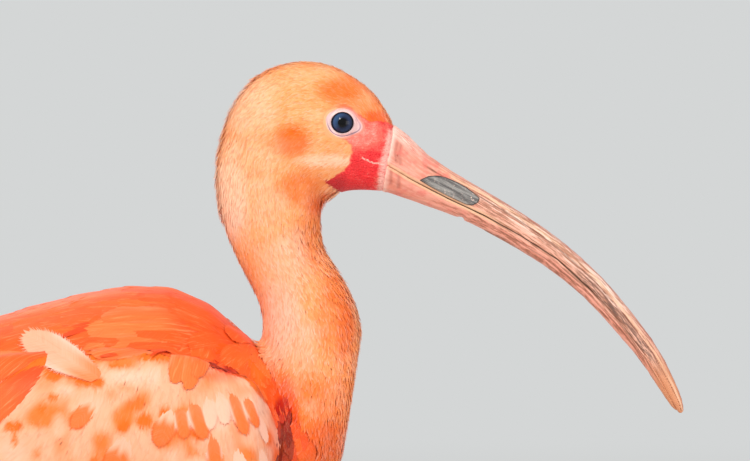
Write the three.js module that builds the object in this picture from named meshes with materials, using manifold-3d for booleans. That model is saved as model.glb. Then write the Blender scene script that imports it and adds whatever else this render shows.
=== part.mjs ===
// A standing scarlet ibis, life size. Millimetres, +Z up, +X towards the bill, +Y the bird's left.
// Heights are above the floor. Lengths along the body are measured from a point midway between
// the tips of the bill and the folded wings, and the group is centred on its own box at the end.
import * as THREE from "three";
import { mergeVertices } from "three/addons/utils/BufferGeometryUtils.js";
import Module from "manifold-3d";

const wasm = await Module();
wasm.setup();

// Driving dimensions.
const BIRD_HEIGHT = 353.7; // crown above the floor
const BILL_TIP_X = 199.5;
const WING_TIP_X = -200;
const BILL_BASE_X = 96.5;
const GAPE_HEIGHT = 318; // mouth line at the bill's base
const GAP = 0.3; // between neighbouring solids
const EYE_RADIUS = 5.2;
const EYE_OPENING = 3.8; // radius of the part that the lids leave open
const EYE_X = 80.7;
const EYE_Z = 332.8;
const STANCE = 25; // each foot from the middle
const THIGH_TOP = 180; // the thighs start here, under the folded wings
const HIP_X = 14; // the middle of the thighs, at their top
const FOOT_X = -10; // the middle of the two feet, under the bird's balance
const STRIDE = 5; // how far the left foot stands ahead of the middle, and the right behind
const ANKLE_HEIGHT = 95;
const FEATHER_CUFF_HEIGHT = 137; // where the bare leg starts
const TOE_RADIUS = 2.7;
const SOLE_SINK = 0.8; // a toe's round underside is cut off by this much, as its flat

// Side outlines [x, z] and half widths [x, y].
const HEAD_TOP = [
  [39, 327], [41, 334], [45, 341.5], [50, 347.5], [58, 352.2], [68, BIRD_HEIGHT], [77, 352.4],
  [85, 348], [91.5, 343], [96, 336], [100, 330],
];
const HEAD_BOTTOM = [
  [39, 327], [42, 316], [50, 310], [60, 307], [72, 306], [82, 308.4], [91, 308.9], [100, 308.5],
];
const HEAD_WIDTH = [
  [39, 0.5], [42, 8], [50, 13.4], [60, 15.4], [70, 15.3], [80, 13.1], [90, 9.4], [100, 7.2],
];
const TRUNK_TOP = [
  [73.5, 221], [66, 240], [55.5, 251.4], [45, 260], [31, 271], [18.7, 274.9], [6.5, 275], [-11, 272],
  [-39, 264.5], [-60, 258], [-81, 249.5], [-102, 240], [-123, 229], [-141, 214],
];
const TRUNK_BOTTOM = [
  [73.5, 221], [72.4, 207.5], [66, 194], [55.5, 181], [45, 174], [31, 168], [6.5, 164.4], [-18, 165],
  [-39, 168.3], [-60, 174.2], [-81, 182], [-102, 191], [-123, 201], [-141, 214],
];
const TRUNK_WIDTH = [
  [73.5, 0.5], [66, 20], [55.5, 30], [45, 36.5], [31, 41], [6.5, 44], [-18, 43.5], [-39, 41],
  [-60, 36], [-81, 29], [-102, 21.5], [-123, 14], [-141, 0.5],
];
// The folded wings lie on the trunk, and behind it on a slimmer form that closes over the tail.
const CARRIER_TOP = [
  ...TRUNK_TOP.slice(0, -3), [-102, 238.5], [-133, 226.5], [-161, 219], [-190, 212.5], [WING_TIP_X, 210],
];
const CARRIER_BOTTOM = [
  ...TRUNK_BOTTOM.slice(0, -3), [-102, 192.5], [-133, 196], [-161, 196], [-190, 199], [WING_TIP_X, 202],
];
const CARRIER_WIDTH = [
  ...TRUNK_WIDTH.slice(0, -3), [-102, 21.5], [-133, 17.5], [-161, 13.5], [-190, 8], [WING_TIP_X, 4.5],
];
// Upper and lower edge of the wing as [x, degrees round the carrier from its top].
const WING_FRONT_X = 58.6;
const WING_UPPER_EDGE = [
  [WING_FRONT_X, 74], [56, 60], [52.7, 51], [46.7, 50], [31, 54], [6.5, 53], [-21.5, 48.5], [-49.5, 43],
  [-77.5, 31], [-105.5, 20], [-133.5, 14], [-161.5, 12], [-189.5, 18], [WING_TIP_X, 40],
];
const WING_LOWER_EDGE = [
  [WING_FRONT_X, 86], [56, 99], [52.7, 109], [46.7, 121], [31, 131], [6.5, 132], [-21.5, 130],
  [-49.5, 126], [-77.5, 118], [-105.5, 110], [-133.5, 102], [-161.5, 96], [-189.5, 92], [WING_TIP_X, 75],
];
const WING_HALF_THICKNESS = [
  [WING_FRONT_X, 1], [54, 4.6], [46.7, 5.6], [6.5, 5.6], [-49.5, 4.6], [-105.5, 3.2], [-161.5, 2],
  [WING_TIP_X, 0.7],
];
const TAIL_MIDDLE = [[-95, 203], [-120, 203], [-150, 200], [-193, 194.5]];
const TAIL_HALF_WIDTH = [[-95, 8], [-120, 12], [-150, 17], [-180, 22], [-193, 19]];
const TAIL_HALF_THICKNESS = [[-95, 4.5], [-120, 4], [-150, 2.6], [-193, 0.8]];

// Paths: x, z of the middle, then half the depth seen from the side and half the width.
const NECK = [
  [62, 329, 15, 12.5], [56.8, 321, 19, 14.4], [54.8, 312.5, 17.9, 14.2], [55.8, 303, 17.6, 14.2],
  [57.6, 292.5, 15.6, 13.2], [61.2, 282.7, 14, 12.6], [65.8, 274, 14.6, 13.2],
  [68.8, 266.3, 16.3, 14.2], [70.2, 257.2, 17.2, 15.4], [70.4, 247.7, 18.4, 17], [68, 236.5, 20.8, 19],
  [61, 226, 22.8, 22], [49, 215, 25, 27], [36, 207, 28, 31],
];
const BILL = [
  [90, 322.6, 11.3, 8.2], [96.4, 319.3, 10.8, 7.6], [105.7, 314, 8.3, 6.3], [115, 309.5, 7.2, 5.5],
  [126, 304.2, 6.2, 4.9], [139.7, 296.5, 5.7, 4.4], [153.7, 287.4, 5.2, 4.1], [167.5, 275.9, 4.6, 3.8],
  [178, 264.3, 4.2, 3.5], [188.5, 250.9, 3.6, 3.2], [194.9, 239.8, 2.8, 2.7], [198, 234, 1.9, 2],
  [BILL_TIP_X, 231.2, 0.6, 0.8],
];
// The mouth line seen from the side, from behind the gape to the tip.
const MOUTH = [
  [88, 322.5], [95.8, GAPE_HEIGHT], [105, 312.5], [118, 305.8], [130, 300.2], [143, 293], [156, 284.6],
  [168, 273.6], [178, 262.6], [187.5, 250], [194, 239], [202, 225],
];

// Where the body is parted: x, z of the middle of a thin cut, the tilt of the cut from level in
// degrees, positive where its front edge is lower, and the cut's length and width.
const CUTS = [
  { x: 56, z: 305.5, tilt: 16, long: 52, wide: 50 },
  { x: 63, z: 281.5, tilt: -22, long: 46, wide: 46 },
  { x: 70, z: 256.5, tilt: 0, long: 44, wide: 50 },
  { x: 66, z: 232.5, tilt: 56, long: 66, wide: 90 },
];

const WING_SPLIT_X = -62; // arm and its coverts ahead, flight feathers behind
const CRUMB = 1; // in cubic millimetres, the most that a leftover of a cut holds

// Steps along and points round the main solids.
const NECK_STEPS = 18;
const NECK_SIDES = 18;
const WING_RINGS = 20;
const WING_SIDES = 14;
const TAIL_RINGS = 9;
const TAIL_SIDES = 14;
const BILL_STEPS = 22;
const BILL_SIDES = 12;
const TOE_SIDES = 8;

// y at x on a smooth line through points whose x runs one way.
function lineThrough(points) {
  const samples = new THREE.SplineCurve(points.map(([x, y]) => new THREE.Vector2(x, y))).getPoints(400);
  if (samples[0].x > samples[samples.length - 1].x) samples.reverse();
  return (x) => {
    const after = samples.findIndex((p) => p.x >= x);
    if (after < 0) return samples[samples.length - 1].y;
    if (after === 0) return samples[0].y;
    const [a, b] = [samples[after - 1], samples[after]];
    return THREE.MathUtils.mapLinear(x, a.x, b.x, a.y, b.y);
  };
}

function solidOf(geometry) {
  const bare = new THREE.BufferGeometry();
  bare.setAttribute("position", geometry.getAttribute("position"));
  bare.setIndex(geometry.index);
  const merged = mergeVertices(bare, 1e-4);
  const made = new wasm.Manifold(
    new wasm.Mesh({
      numProp: 3,
      vertProperties: new Float32Array(merged.attributes.position.array),
      triVerts: new Uint32Array(merged.index.array),
    }),
  );
  if (made.volume() > 0) return made;
  const index = Array.from(merged.index.array);
  for (let i = 0; i < index.length; i += 3) [index[i], index[i + 1]] = [index[i + 1], index[i]];
  return solidOf(merged.setIndex(index));
}

// Closed solid through rings of equally many points, each end closed on its ring's middle.
function solidThrough(rings) {
  const sides = rings[0].length;
  const middleOf = (ring) =>
    ring.reduce((sum, p) => sum.add(p), new THREE.Vector3()).divideScalar(sides);
  const points = [middleOf(rings[0]), ...rings.flat(), middleOf(rings[rings.length - 1])];
  const index = [];
  const last = points.length - 1;
  for (let j = 0; j < sides; j++) {
    const next = (j + 1) % sides;
    index.push(0, 1 + j, 1 + next);
    for (let i = 0; i < rings.length - 1; i++) {
      const [a, b] = [1 + i * sides, 1 + (i + 1) * sides];
      index.push(a + j, b + j, b + next, a + j, b + next, a + next);
    }
    index.push(last, last - sides + next, last - sides + j);
  }
  const geometry = new THREE.BufferGeometry().setFromPoints(points).setIndex(index);
  return solidOf(geometry);
}

// Angles round a section and places along a length, closer together at the two ends.
const around = (sides) => Array.from({ length: sides }, (_, j) => (j / sides) * 2 * Math.PI);
const between = (from, to, count) =>
  Array.from({ length: count }, (_, i) => {
    const t = i / (count - 1);
    return THREE.MathUtils.lerp(from, to, (t + (1 - Math.cos(Math.PI * t)) / 2) / 2);
  });

// Upright rings along x between a top and a bottom outline, of a given half width.
function outlined({ top, bottom, width, rings, sides, grow = 0 }) {
  const [zTop, zBottom, half] = [lineThrough(top), lineThrough(bottom), lineThrough(width)];
  const [first, last] = [width[0][0], width[width.length - 1][0]];
  return solidThrough(
    between(first, last, rings).map((x) => {
      const middle = (zTop(x) + zBottom(x)) / 2;
      const rise = Math.max((zTop(x) - zBottom(x)) / 2, 0.5) + grow;
      return around(sides).map(
        (a) =>
          new THREE.Vector3(x, (Math.max(half(x), 0.5) + grow) * Math.sin(a), middle + rise * Math.cos(a)),
      );
    }),
  );
}

// Rings square to a path of [x, z, half depth, half width] that lies in the plane y = 0.
function sweptInSide(stations, steps, sides) {
  const path = new THREE.CatmullRomCurve3(stations.map(([x, z]) => new THREE.Vector3(x, 0, z)));
  const size = new THREE.CatmullRomCurve3(
    stations.map(([, , depth, width]) => new THREE.Vector3(depth, width, 0)),
  );
  const rings = Array.from({ length: steps + 1 }, (_, i) => {
    const t = i / steps;
    const [at, along, half] = [path.getPoint(t), path.getTangent(t), size.getPoint(t)];
    const up = new THREE.Vector3(-along.z, 0, along.x);
    return around(sides).map((a) =>
      at.clone().addScaledVector(up, half.x * Math.cos(a)).add(new THREE.Vector3(0, half.y * Math.sin(a), 0)),
    );
  });
  return solidThrough(rings);
}

// Round rings along a path of [x, y, z, radius]; grow widens it.
function limb(stations, steps, sides, grow = 0) {
  const path = new THREE.CatmullRomCurve3(stations.map(([x, y, z]) => new THREE.Vector3(x, y, z)));
  const size = lineThrough(stations.map(([, , , radius], i) => [i, radius]));
  const rings = Array.from({ length: steps + 1 }, (_, i) => {
    const t = i / steps;
    const [at, along] = [path.getPoint(t), path.getTangent(t)];
    const side = Math.abs(along.z) > 0.8 ? new THREE.Vector3(1, 0, 0) : new THREE.Vector3(0, 0, 1);
    const first = side.clone().addScaledVector(along, -side.dot(along)).normalize();
    const second = along.clone().cross(first);
    const radius = size(t * (stations.length - 1)) + grow;
    return around(sides).map((a) =>
      at
        .clone()
        .addScaledVector(first, radius * Math.cos(a))
        .addScaledVector(second, radius * Math.sin(a)),
    );
  });
  return solidThrough(rings);
}

function placedBox(size, at, turn = 0) {
  const geometry = new THREE.BoxGeometry(...size);
  geometry.applyMatrix4(new THREE.Matrix4().makeRotationY(turn));
  geometry.translate(...at);
  return solidOf(geometry);
}

function ball(radius, at) {
  return solidOf(new THREE.SphereGeometry(radius, 12, 8).rotateX(Math.PI / 2).translate(...at));
}

const belowFloor = placedBox([700, 300, 60], [0, 0, -30]);

// Head, neck and trunk as one body, then parted by thin cuts.
const headShape = { top: HEAD_TOP, bottom: HEAD_BOTTOM, width: HEAD_WIDTH, rings: 14, sides: 18 };
const trunkShape = { top: TRUNK_TOP, bottom: TRUNK_BOTTOM, width: TRUNK_WIDTH, rings: 18, sides: 20 };

// How far out the head reaches at a place beside it.
function headSurface(x, z) {
  const [top, bottom] = [lineThrough(HEAD_TOP)(x), lineThrough(HEAD_BOTTOM)(x)];
  const share = (z - (top + bottom) / 2) / ((top - bottom) / 2);
  return lineThrough(HEAD_WIDTH)(x) * Math.sqrt(1 - share * share);
}

function ahead(x, tilt, length = 400) {
  // Everything in front of a plane through the gape that leans by tilt.
  const box = new THREE.BoxGeometry(length, 200, 300).translate(length / 2, 0, 0);
  box.applyMatrix4(new THREE.Matrix4().makeRotationY(tilt)).translate(x, 0, GAPE_HEIGHT);
  return solidOf(box);
}

const FACE_TILT = THREE.MathUtils.degToRad(9); // the bill's base leans forward at its top
const eyeDepth = Math.sqrt(EYE_RADIUS ** 2 - EYE_OPENING ** 2);
const eyeY = headSurface(EYE_X, EYE_Z) - eyeDepth;

function bodyPieces() {
  let body = outlined(headShape)
    .add(sweptInSide(NECK, NECK_STEPS, NECK_SIDES))
    .add(outlined(trunkShape))
    .subtract(ahead(BILL_BASE_X - GAP, FACE_TILT));
  for (const side of [-1, 1]) {
    body = body.subtract(ball(EYE_RADIUS + GAP, [EYE_X, side * eyeY, EYE_Z]));
  }
  for (const cut of CUTS) {
    const turn = THREE.MathUtils.degToRad(cut.tilt);
    body = body.subtract(placedBox([cut.long, cut.wide, GAP], [cut.x, 0, cut.z], turn));
  }
  const names = ["head", "neck_upper", "neck_middle", "neck_lower", "trunk"];
  const pieces = body
    .decompose()
    .filter((piece) => piece.volume() > CRUMB)
    .sort((a, b) => middleHeight(b) - middleHeight(a));
  if (pieces.length !== names.length) throw new Error("the body parted into " + pieces.length);
  return names.map((name, i) => [name, pieces[i]]);
}

function middleHeight(piece) {
  const box = piece.boundingBox();
  return (box.min[2] + box.max[2]) / 2;
}

function billPieces() {
  const bill = sweptInSide(BILL, BILL_STEPS, BILL_SIDES).intersect(ahead(BILL_BASE_X, FACE_TILT));
  const mouth = new THREE.SplineCurve(MOUTH.map(([x, z]) => new THREE.Vector2(x, z))).getPoints(BILL_STEPS);
  const regionOn = (direction) => {
    const edge = mouth.map((p) => p.clone().add(new THREE.Vector2(0, (direction * GAP) / 2)));
    const far = edge[0].y + direction * 200;
    const shape = new THREE.Shape([
      ...edge,
      new THREE.Vector2(edge[edge.length - 1].x, far),
      new THREE.Vector2(edge[0].x, far),
    ]);
    const slab = new THREE.ExtrudeGeometry(shape, { depth: 60, bevelEnabled: false });
    return solidOf(slab.translate(0, 0, -30).rotateX(Math.PI / 2));
  };
  return [
    ["bill_upper", largest(bill.intersect(regionOn(1)))],
    ["bill_lower", largest(bill.intersect(regionOn(-1)))],
  ];
}

function largest(solid) {
  return solid.decompose().sort((a, b) => b.volume() - a.volume())[0];
}

// A folded wing lies on its carrier, between two edges, and is thickest between them.
function wingSolid(side) {
  const [top, bottom, half] = [CARRIER_TOP, CARRIER_BOTTOM, CARRIER_WIDTH].map(lineThrough);
  const [upper, lower, thick] = [WING_UPPER_EDGE, WING_LOWER_EDGE, WING_HALF_THICKNESS].map(lineThrough);
  const rings = between(WING_FRONT_X, WING_TIP_X, WING_RINGS).map((x) => {
    const [middle, rise] = [(top(x) + bottom(x)) / 2, (top(x) - bottom(x)) / 2];
    return around(WING_SIDES).map((a) => {
      const share = (1 - Math.cos(a)) / 2;
      const angle = THREE.MathUtils.degToRad(THREE.MathUtils.lerp(upper(x), lower(x), share));
      const out = new THREE.Vector2(Math.sin(angle) / half(x), Math.cos(angle) / rise).normalize();
      const lift = thick(x) * (0.55 + Math.sin(a)) + GAP;
      const y = half(x) * Math.sin(angle) + out.x * lift;
      return new THREE.Vector3(x, side * y, middle + rise * Math.cos(angle) + out.y * lift);
    });
  });
  return solidThrough(rings);
}

function wingPieces(side, name) {
  const wing = wingSolid(side)
    .subtract(outlined({ ...trunkShape, grow: GAP }))
    .subtract(sweptInSide(NECK.map(([x, z, a, b]) => [x, z, a + GAP, b + GAP]), NECK_STEPS, NECK_SIDES));
  const behind = placedBox([300, 300, 300], [WING_SPLIT_X - 150, 0, 200]);
  const front = placedBox([300, 300, 300], [WING_SPLIT_X + GAP + 150, 0, 200]);
  return [
    ["wing_" + name, largest(wing.intersect(front))],
    ["flight_feathers_" + name, largest(wing.intersect(behind))],
  ];
}

function tailSolid(wings) {
  const [middle, half, thick] = [TAIL_MIDDLE, TAIL_HALF_WIDTH, TAIL_HALF_THICKNESS].map(lineThrough);
  const rings = between(TAIL_MIDDLE[0][0], TAIL_MIDDLE[TAIL_MIDDLE.length - 1][0], TAIL_RINGS).map((x) =>
    around(TAIL_SIDES).map(
      (a) => new THREE.Vector3(x, half(x) * Math.sin(a), middle(x) + thick(x) * Math.cos(a)),
    ),
  );
  let tail = solidThrough(rings).subtract(outlined({ ...trunkShape, grow: GAP }));
  for (const wing of wings) tail = tail.subtract(wing);
  return largest(tail);
}

// Toes: angle from straight ahead in degrees (outwards positive), length, and joints counted.
const TOES = [
  { name: "middle", turn: 3, long: 52, joints: 3 },
  { name: "inner", turn: -30, long: 40, joints: 2 },
  { name: "outer", turn: 34, long: 43, joints: 4 },
  { name: "hind", turn: 176, long: 22, joints: 1 },
];
const CLAW_LENGTH = 7;

function legPieces(side, name) {
  const y = side * STANCE;
  const stride = side * STRIDE;
  const x = FOOT_X + stride;
  const foot = [x, y, 0];
  const ankle = [x - 9, y + side * 0.5, ANKLE_HEIGHT];
  const cuff = [HIP_X - 21.5 + stride * 0.6, y * 0.98, FEATHER_CUFF_HEIGHT];
  const thighPath = [
    [HIP_X + stride * 0.2, y * 0.86, 186, 15.5], [HIP_X - 7 + stride * 0.3, y * 0.94, 168, 15.5],
    [HIP_X - 15 + stride * 0.5, y * 0.97, 151, 10.5], [...cuff, 5.6],
  ];
  const shankPath = [
    [cuff[0], cuff[1], cuff[2], 3.9], [x - 4.6, y, 116, 3.3], [x - 7.8, y, 101.4, 4.1],
  ];
  const tarsusPath = [
    [x - 8, y, 101.4, 4.3], [...ankle, 5.3], [x - 8.4, y, 87, 3.9], [x - 5.5, y, 55, 3.1],
    [x - 2, y, 20, 3.4], [x - 0.4, y, 9.2, 4.3],
  ];
  const footPath = [[x - 0.3, y, 9.4, 4.4], [x, y, 5, 5], [x, y, 1.5, 4.8], [x, y, -1, 4.2]];
  const thigh = limb(thighPath, 8, 12)
    .subtract(outlined({ ...trunkShape, grow: GAP }))
    .subtract(placedBox([90, 60, 60], [HIP_X, y, THIGH_TOP + 30]));
  const shank = limb(shankPath, 5, 8).subtract(limb(thighPath, 8, 12, GAP));
  const tarsus = limb(tarsusPath, 10, 8).subtract(limb(shankPath, 5, 8, GAP));
  const pad = limb(footPath, 4, 10).subtract(belowFloor).subtract(limb(tarsusPath, 10, 8, GAP));
  const padRoom = limb(footPath, 4, 10, GAP);
  const pieces = [
    ["thigh_" + name, largest(thigh)],
    ["shank_" + name, largest(shank)],
    ["tarsus_" + name, largest(tarsus)],
    ["foot_" + name, largest(pad)],
  ];
  let taken = padRoom; // what later toes leave free
  for (const toe of TOES) {
    const turn = THREE.MathUtils.degToRad(toe.turn) * side;
    const heading = new THREE.Vector2(Math.cos(turn), Math.sin(turn));
    const at = (far, z, radius) => [foot[0] + heading.x * far, foot[1] + heading.y * far, z, radius];
    const stations = [at(2, TOE_RADIUS - SOLE_SINK + 1.4, TOE_RADIUS + 0.3)];
    const count = toe.joints * 2;
    for (let i = 1; i <= count; i++) {
      const share = i / count;
      const swell = i % 2 ? -0.25 : 0.2; // narrower between the joints
      const radius = TOE_RADIUS * (1 - 0.3 * share) + swell;
      stations.push(at(2 + (toe.long - 2) * share, radius - SOLE_SINK * (1 - 0.4 * share), radius));
    }
    const endHeight = stations[count][2];
    const clawPath = [
      at(toe.long + GAP, endHeight, 1.5), at(toe.long + CLAW_LENGTH * 0.5, endHeight + 0.1, 1.15),
      at(toe.long + CLAW_LENGTH, 0.7, 0.45),
    ];
    const toeSolid = limb(stations, count, TOE_SIDES).subtract(belowFloor).subtract(taken);
    pieces.push(["toe_" + toe.name + "_" + name, largest(toeSolid)]);
    pieces.push(["claw_" + toe.name + "_" + name, largest(limb(clawPath, 3, 6).subtract(belowFloor))]);
    taken = taken.add(limb(stations, count, TOE_SIDES, GAP));
  }
  return pieces;
}

// Finishes.
const FINISHES = {
  plumage: { color: 0xf3945c, roughness: 0.85 },
  mantle: { color: 0xf25a22, roughness: 0.7 },
  coverts: { color: 0xf3b596, roughness: 0.8 },
  flight: { color: 0xee5a2a, roughness: 0.65 },
  bill: { color: 0xd98a74, roughness: 0.45 },
  eye: { color: 0x10141c, roughness: 0.05 },
  leg: { color: 0xd9776a, roughness: 0.55 },
  claw: { color: 0x4a3a36, roughness: 0.5 },
};

function finishOf(name) {
  if (name.startsWith("bill")) return "bill";
  if (name.startsWith("eye")) return "eye";
  if (name.startsWith("claw")) return "claw";
  if (/^(shank|tarsus|foot|toe)/.test(name)) return "leg";
  if (name.startsWith("flight") || name === "tail") return "flight";
  if (name.startsWith("wing")) return "coverts";
  return name === "trunk" ? "mantle" : "plumage";
}

function meshOf(name, solid) {
  const { numProp, vertProperties, triVerts } = solid.getMesh();
  const positions = [];
  for (let i = 0; i < vertProperties.length; i += numProp) {
    positions.push(vertProperties[i], vertProperties[i + 1], vertProperties[i + 2]);
  }
  const geometry = new THREE.BufferGeometry();
  geometry.setAttribute("position", new THREE.Float32BufferAttribute(positions, 3));
  geometry.setIndex(Array.from(triVerts));
  geometry.computeVertexNormals();
  const mesh = new THREE.Mesh(geometry, new THREE.MeshStandardMaterial(FINISHES[finishOf(name)]));
  mesh.name = name;
  return mesh;
}

const ibis = new THREE.Group();
const sides = [[-1, "right"], [1, "left"]];
const wings = sides.flatMap(([side, name]) => wingPieces(side, name));
const solids = [
  ...bodyPieces(),
  ...billPieces(),
  ...wings,
  ["tail", tailSolid(wings.map(([, solid]) => solid))],
  ...sides.map(([side, name]) => ["eye_" + name, ball(EYE_RADIUS, [EYE_X, side * eyeY, EYE_Z])]),
  ...sides.flatMap(([side, name]) => legPieces(side, name)),
];
for (const [name, solid] of solids) ibis.add(meshOf(name, solid));
const extent = new THREE.Box3().setFromObject(ibis);
ibis.position.set(-(extent.min.x + extent.max.x) / 2, -(extent.min.y + extent.max.y) / 2, -extent.min.z);

export default ibis;
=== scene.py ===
"""A life-size museum model of a scarlet ibis: skin, plumage, bill, eyes and feet over the fixed frame.

Shapes are worked out in millimetres, in the frame's own axes: +X is forward, +Z is up, the floor is at 0.
"""

import math

import bpy
import numpy as np
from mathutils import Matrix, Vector
from mathutils.bvhtree import BVHTree
from mathutils.kdtree import KDTree


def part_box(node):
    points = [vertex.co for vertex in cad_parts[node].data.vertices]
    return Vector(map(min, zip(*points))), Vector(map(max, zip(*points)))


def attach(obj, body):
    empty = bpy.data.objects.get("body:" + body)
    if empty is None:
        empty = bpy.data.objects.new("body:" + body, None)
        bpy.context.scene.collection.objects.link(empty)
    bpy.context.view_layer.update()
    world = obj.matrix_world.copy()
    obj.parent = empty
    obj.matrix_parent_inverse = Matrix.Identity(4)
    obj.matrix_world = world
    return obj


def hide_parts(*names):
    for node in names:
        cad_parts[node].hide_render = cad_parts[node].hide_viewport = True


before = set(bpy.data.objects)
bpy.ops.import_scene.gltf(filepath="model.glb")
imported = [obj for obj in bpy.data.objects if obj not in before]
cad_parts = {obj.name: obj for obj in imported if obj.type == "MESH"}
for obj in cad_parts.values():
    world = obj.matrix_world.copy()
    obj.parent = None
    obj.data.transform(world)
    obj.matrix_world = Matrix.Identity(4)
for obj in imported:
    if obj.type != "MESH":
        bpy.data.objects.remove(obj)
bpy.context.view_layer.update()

# Driving sizes, in millimetres
MM = 0.001  # metres in a millimetre
SIDES = {"right": -1, "left": 1}
EYE_RADIUS = 5.2
EYE_SHIFT = (0.2, 0, -0.6)
SUPPORT_GRAIN = 1.3  # mesh size of the surface that the plumage lies on
SKIN_GRAIN = 0.85
SKIN_TRIANGLES = 185000
SEAM_GROWTH = 0.4  # closes the gaps between the frame's pieces
SAME_POINT = 0.02
PATCH = 0.003  # a tuft's width on its bake map

FLESH = ("head", "neck", "trunk", "wing", "thigh", "shank", "tarsus", "foot", "toe")
PLUMES = ("flight_feathers", "tail")
ZONES = ["head", "neck", "trunk", "wing", "flight_feathers", "tail", "thigh", "leg"]


# Arithmetic on arrays of points
def unit(v):
    return v / np.maximum(np.linalg.norm(v, axis=-1, keepdims=True), 1e-9)


def fade(x, low, high):
    """A smooth step from 0 at low to 1 at high."""
    t = np.clip((np.asarray(x, float) - low) / (high - low), 0, 1)
    return t * t * (3 - 2 * t)


def blob(p, centre, radius):
    """1 in the middle of a soft ball round a place seen from the side, 0 outside; its radius may be (x, z)."""
    away = (p[:, [0, 2]] - np.array(centre)) / np.array(radius)
    return 1 - fade(np.linalg.norm(away, axis=1), 0.35, 1.25)


def blotches(p, size, seed):
    """Soft noise from 0 to 1 whose blotches are about size across."""
    q = p / size
    corner = np.floor(q).astype(int)
    f = q - corner
    f = f * f * (3 - 2 * f)
    lattice = np.random.default_rng(seed).random((32, 32, 32))
    total = np.zeros(len(p))
    for i in (0, 1):
        for j in (0, 1):
            for k in (0, 1):
                at = (corner + (i, j, k)) % 32
                weight = np.abs(1 - i - f[:, 0]) * np.abs(1 - j - f[:, 1]) * np.abs(1 - k - f[:, 2])
                total += weight * lattice[at[:, 0], at[:, 1], at[:, 2]]
    return total


def nearest_on(p, line):
    """For each point, seen from the side, the nearest place of a line of (x, z) places.

    Gives the gap to it, how far along the line it is, and how far the point stands above that stretch.
    """
    line = np.array(line, float)
    gap, share, above = np.full(len(p), 1e9), np.zeros(len(p)), np.zeros(len(p))
    run = 0.0
    for a, b in zip(line[:-1], line[1:]):
        edge, q = b - a, p[:, [0, 2]] - a
        size = np.linalg.norm(edge)
        t = np.clip((q @ edge) / size**2, 0, 1)
        away = np.linalg.norm(q - t[:, None] * edge, axis=1)
        near = away < gap
        gap = np.where(near, away, gap)
        share = np.where(near, run + t * size, share)
        above = np.where(near, (edge[0] * q[:, 1] - edge[1] * q[:, 0]) / size, above)
        run += size
    return gap, share, above


def distance_to(p, line):
    """How far each point is from a line, signed by the side above it, and how far along the line."""
    gap, share, above = nearest_on(p, line)
    return gap * np.sign(above), share


def inside_by(p, outline):
    """How far each point lies inside an outline seen from the side: negative outside."""
    outline = np.array([*outline, outline[0]], float)
    x, z = p[:, 0], p[:, 2]
    inside = np.zeros(len(p), bool)
    for start, end in zip(outline[:-1], outline[1:]):
        crosses = (start[1] > z) != (end[1] > z)
        rise = (end[1] - start[1]) or 1e-9
        inside ^= crosses & (x < start[0] + (z - start[1]) / rise * (end[0] - start[0]))
    gap, _, _ = nearest_on(p, outline)
    return np.where(inside, gap, -gap)


# Meshes and objects
def points_of(mesh):
    found = np.empty(len(mesh.vertices) * 3)
    mesh.vertices.foreach_get("co", found)
    return found.reshape(-1, 3) / MM


def set_points(mesh, p):
    mesh.vertices.foreach_set("co", (p * MM).astype(np.float32).ravel())
    mesh.update()


def triangles_of(mesh):
    mesh.calc_loop_triangles()
    found = np.empty(len(mesh.loop_triangles) * 3, np.int32)
    mesh.loop_triangles.foreach_get("vertices", found)
    return found.reshape(-1, 3)


def normals_of(p, triangles):
    a, b, c = (p[triangles[:, k]] for k in range(3))
    flat = np.cross(b - a, c - a)
    total = np.zeros_like(p)
    for k in range(3):
        for axis in range(3):
            total[:, axis] += np.bincount(triangles[:, k], flat[:, axis], len(p))
    return unit(total)


def put_attributes(mesh, **named):
    """Numbers or vectors for each vertex, which the materials read."""
    for name, values in named.items():
        form, field = ("FLOAT", "value") if values.ndim == 1 else ("FLOAT_VECTOR", "vector")
        made = mesh.attributes.new(name, form, "POINT")
        made.data.foreach_set(field, values.astype(np.float32).ravel())


def mesh_from(name, p, faces):
    """An object from points in millimetres and an array of equal faces."""
    mesh = bpy.data.meshes.new(name)
    mesh.vertices.add(len(p))
    mesh.loops.add(faces.size)
    mesh.polygons.add(len(faces))
    mesh.vertices.foreach_set("co", (p * MM).astype(np.float32).ravel())
    mesh.loops.foreach_set("vertex_index", faces.astype(np.int32).ravel())
    mesh.polygons.foreach_set("loop_start", (np.arange(len(faces)) * faces.shape[1]).astype(np.int32))
    mesh.polygons.foreach_set("use_smooth", np.full(len(faces), True))
    mesh.update(calc_edges=True)
    obj = bpy.data.objects.new(name, mesh)
    bpy.context.scene.collection.objects.link(obj)
    return obj


def only(*objs):
    """Selects these objects and no others."""
    bpy.ops.object.select_all(action="DESELECT")
    for obj in objs:
        obj.select_set(True)
    bpy.context.view_layer.objects.active = objs[0]


def shaped(obj, kind, **settings):
    """Adds a modifier and applies it."""
    only(obj)
    modifier = obj.modifiers.new(kind.lower(), kind)
    for key, value in settings.items():
        setattr(modifier, key, value)
    bpy.ops.object.modifier_apply(modifier=modifier.name)


def edited(obj, operator, **settings):
    """Runs an operator of edit mode on the whole object."""
    only(obj)
    bpy.ops.object.mode_set(mode="EDIT")
    bpy.ops.mesh.select_all(action="SELECT")
    operator(**settings)
    bpy.ops.object.mode_set(mode="OBJECT")


def nodes_named(*starts):
    return sorted(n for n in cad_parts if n.startswith(starts))


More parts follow.
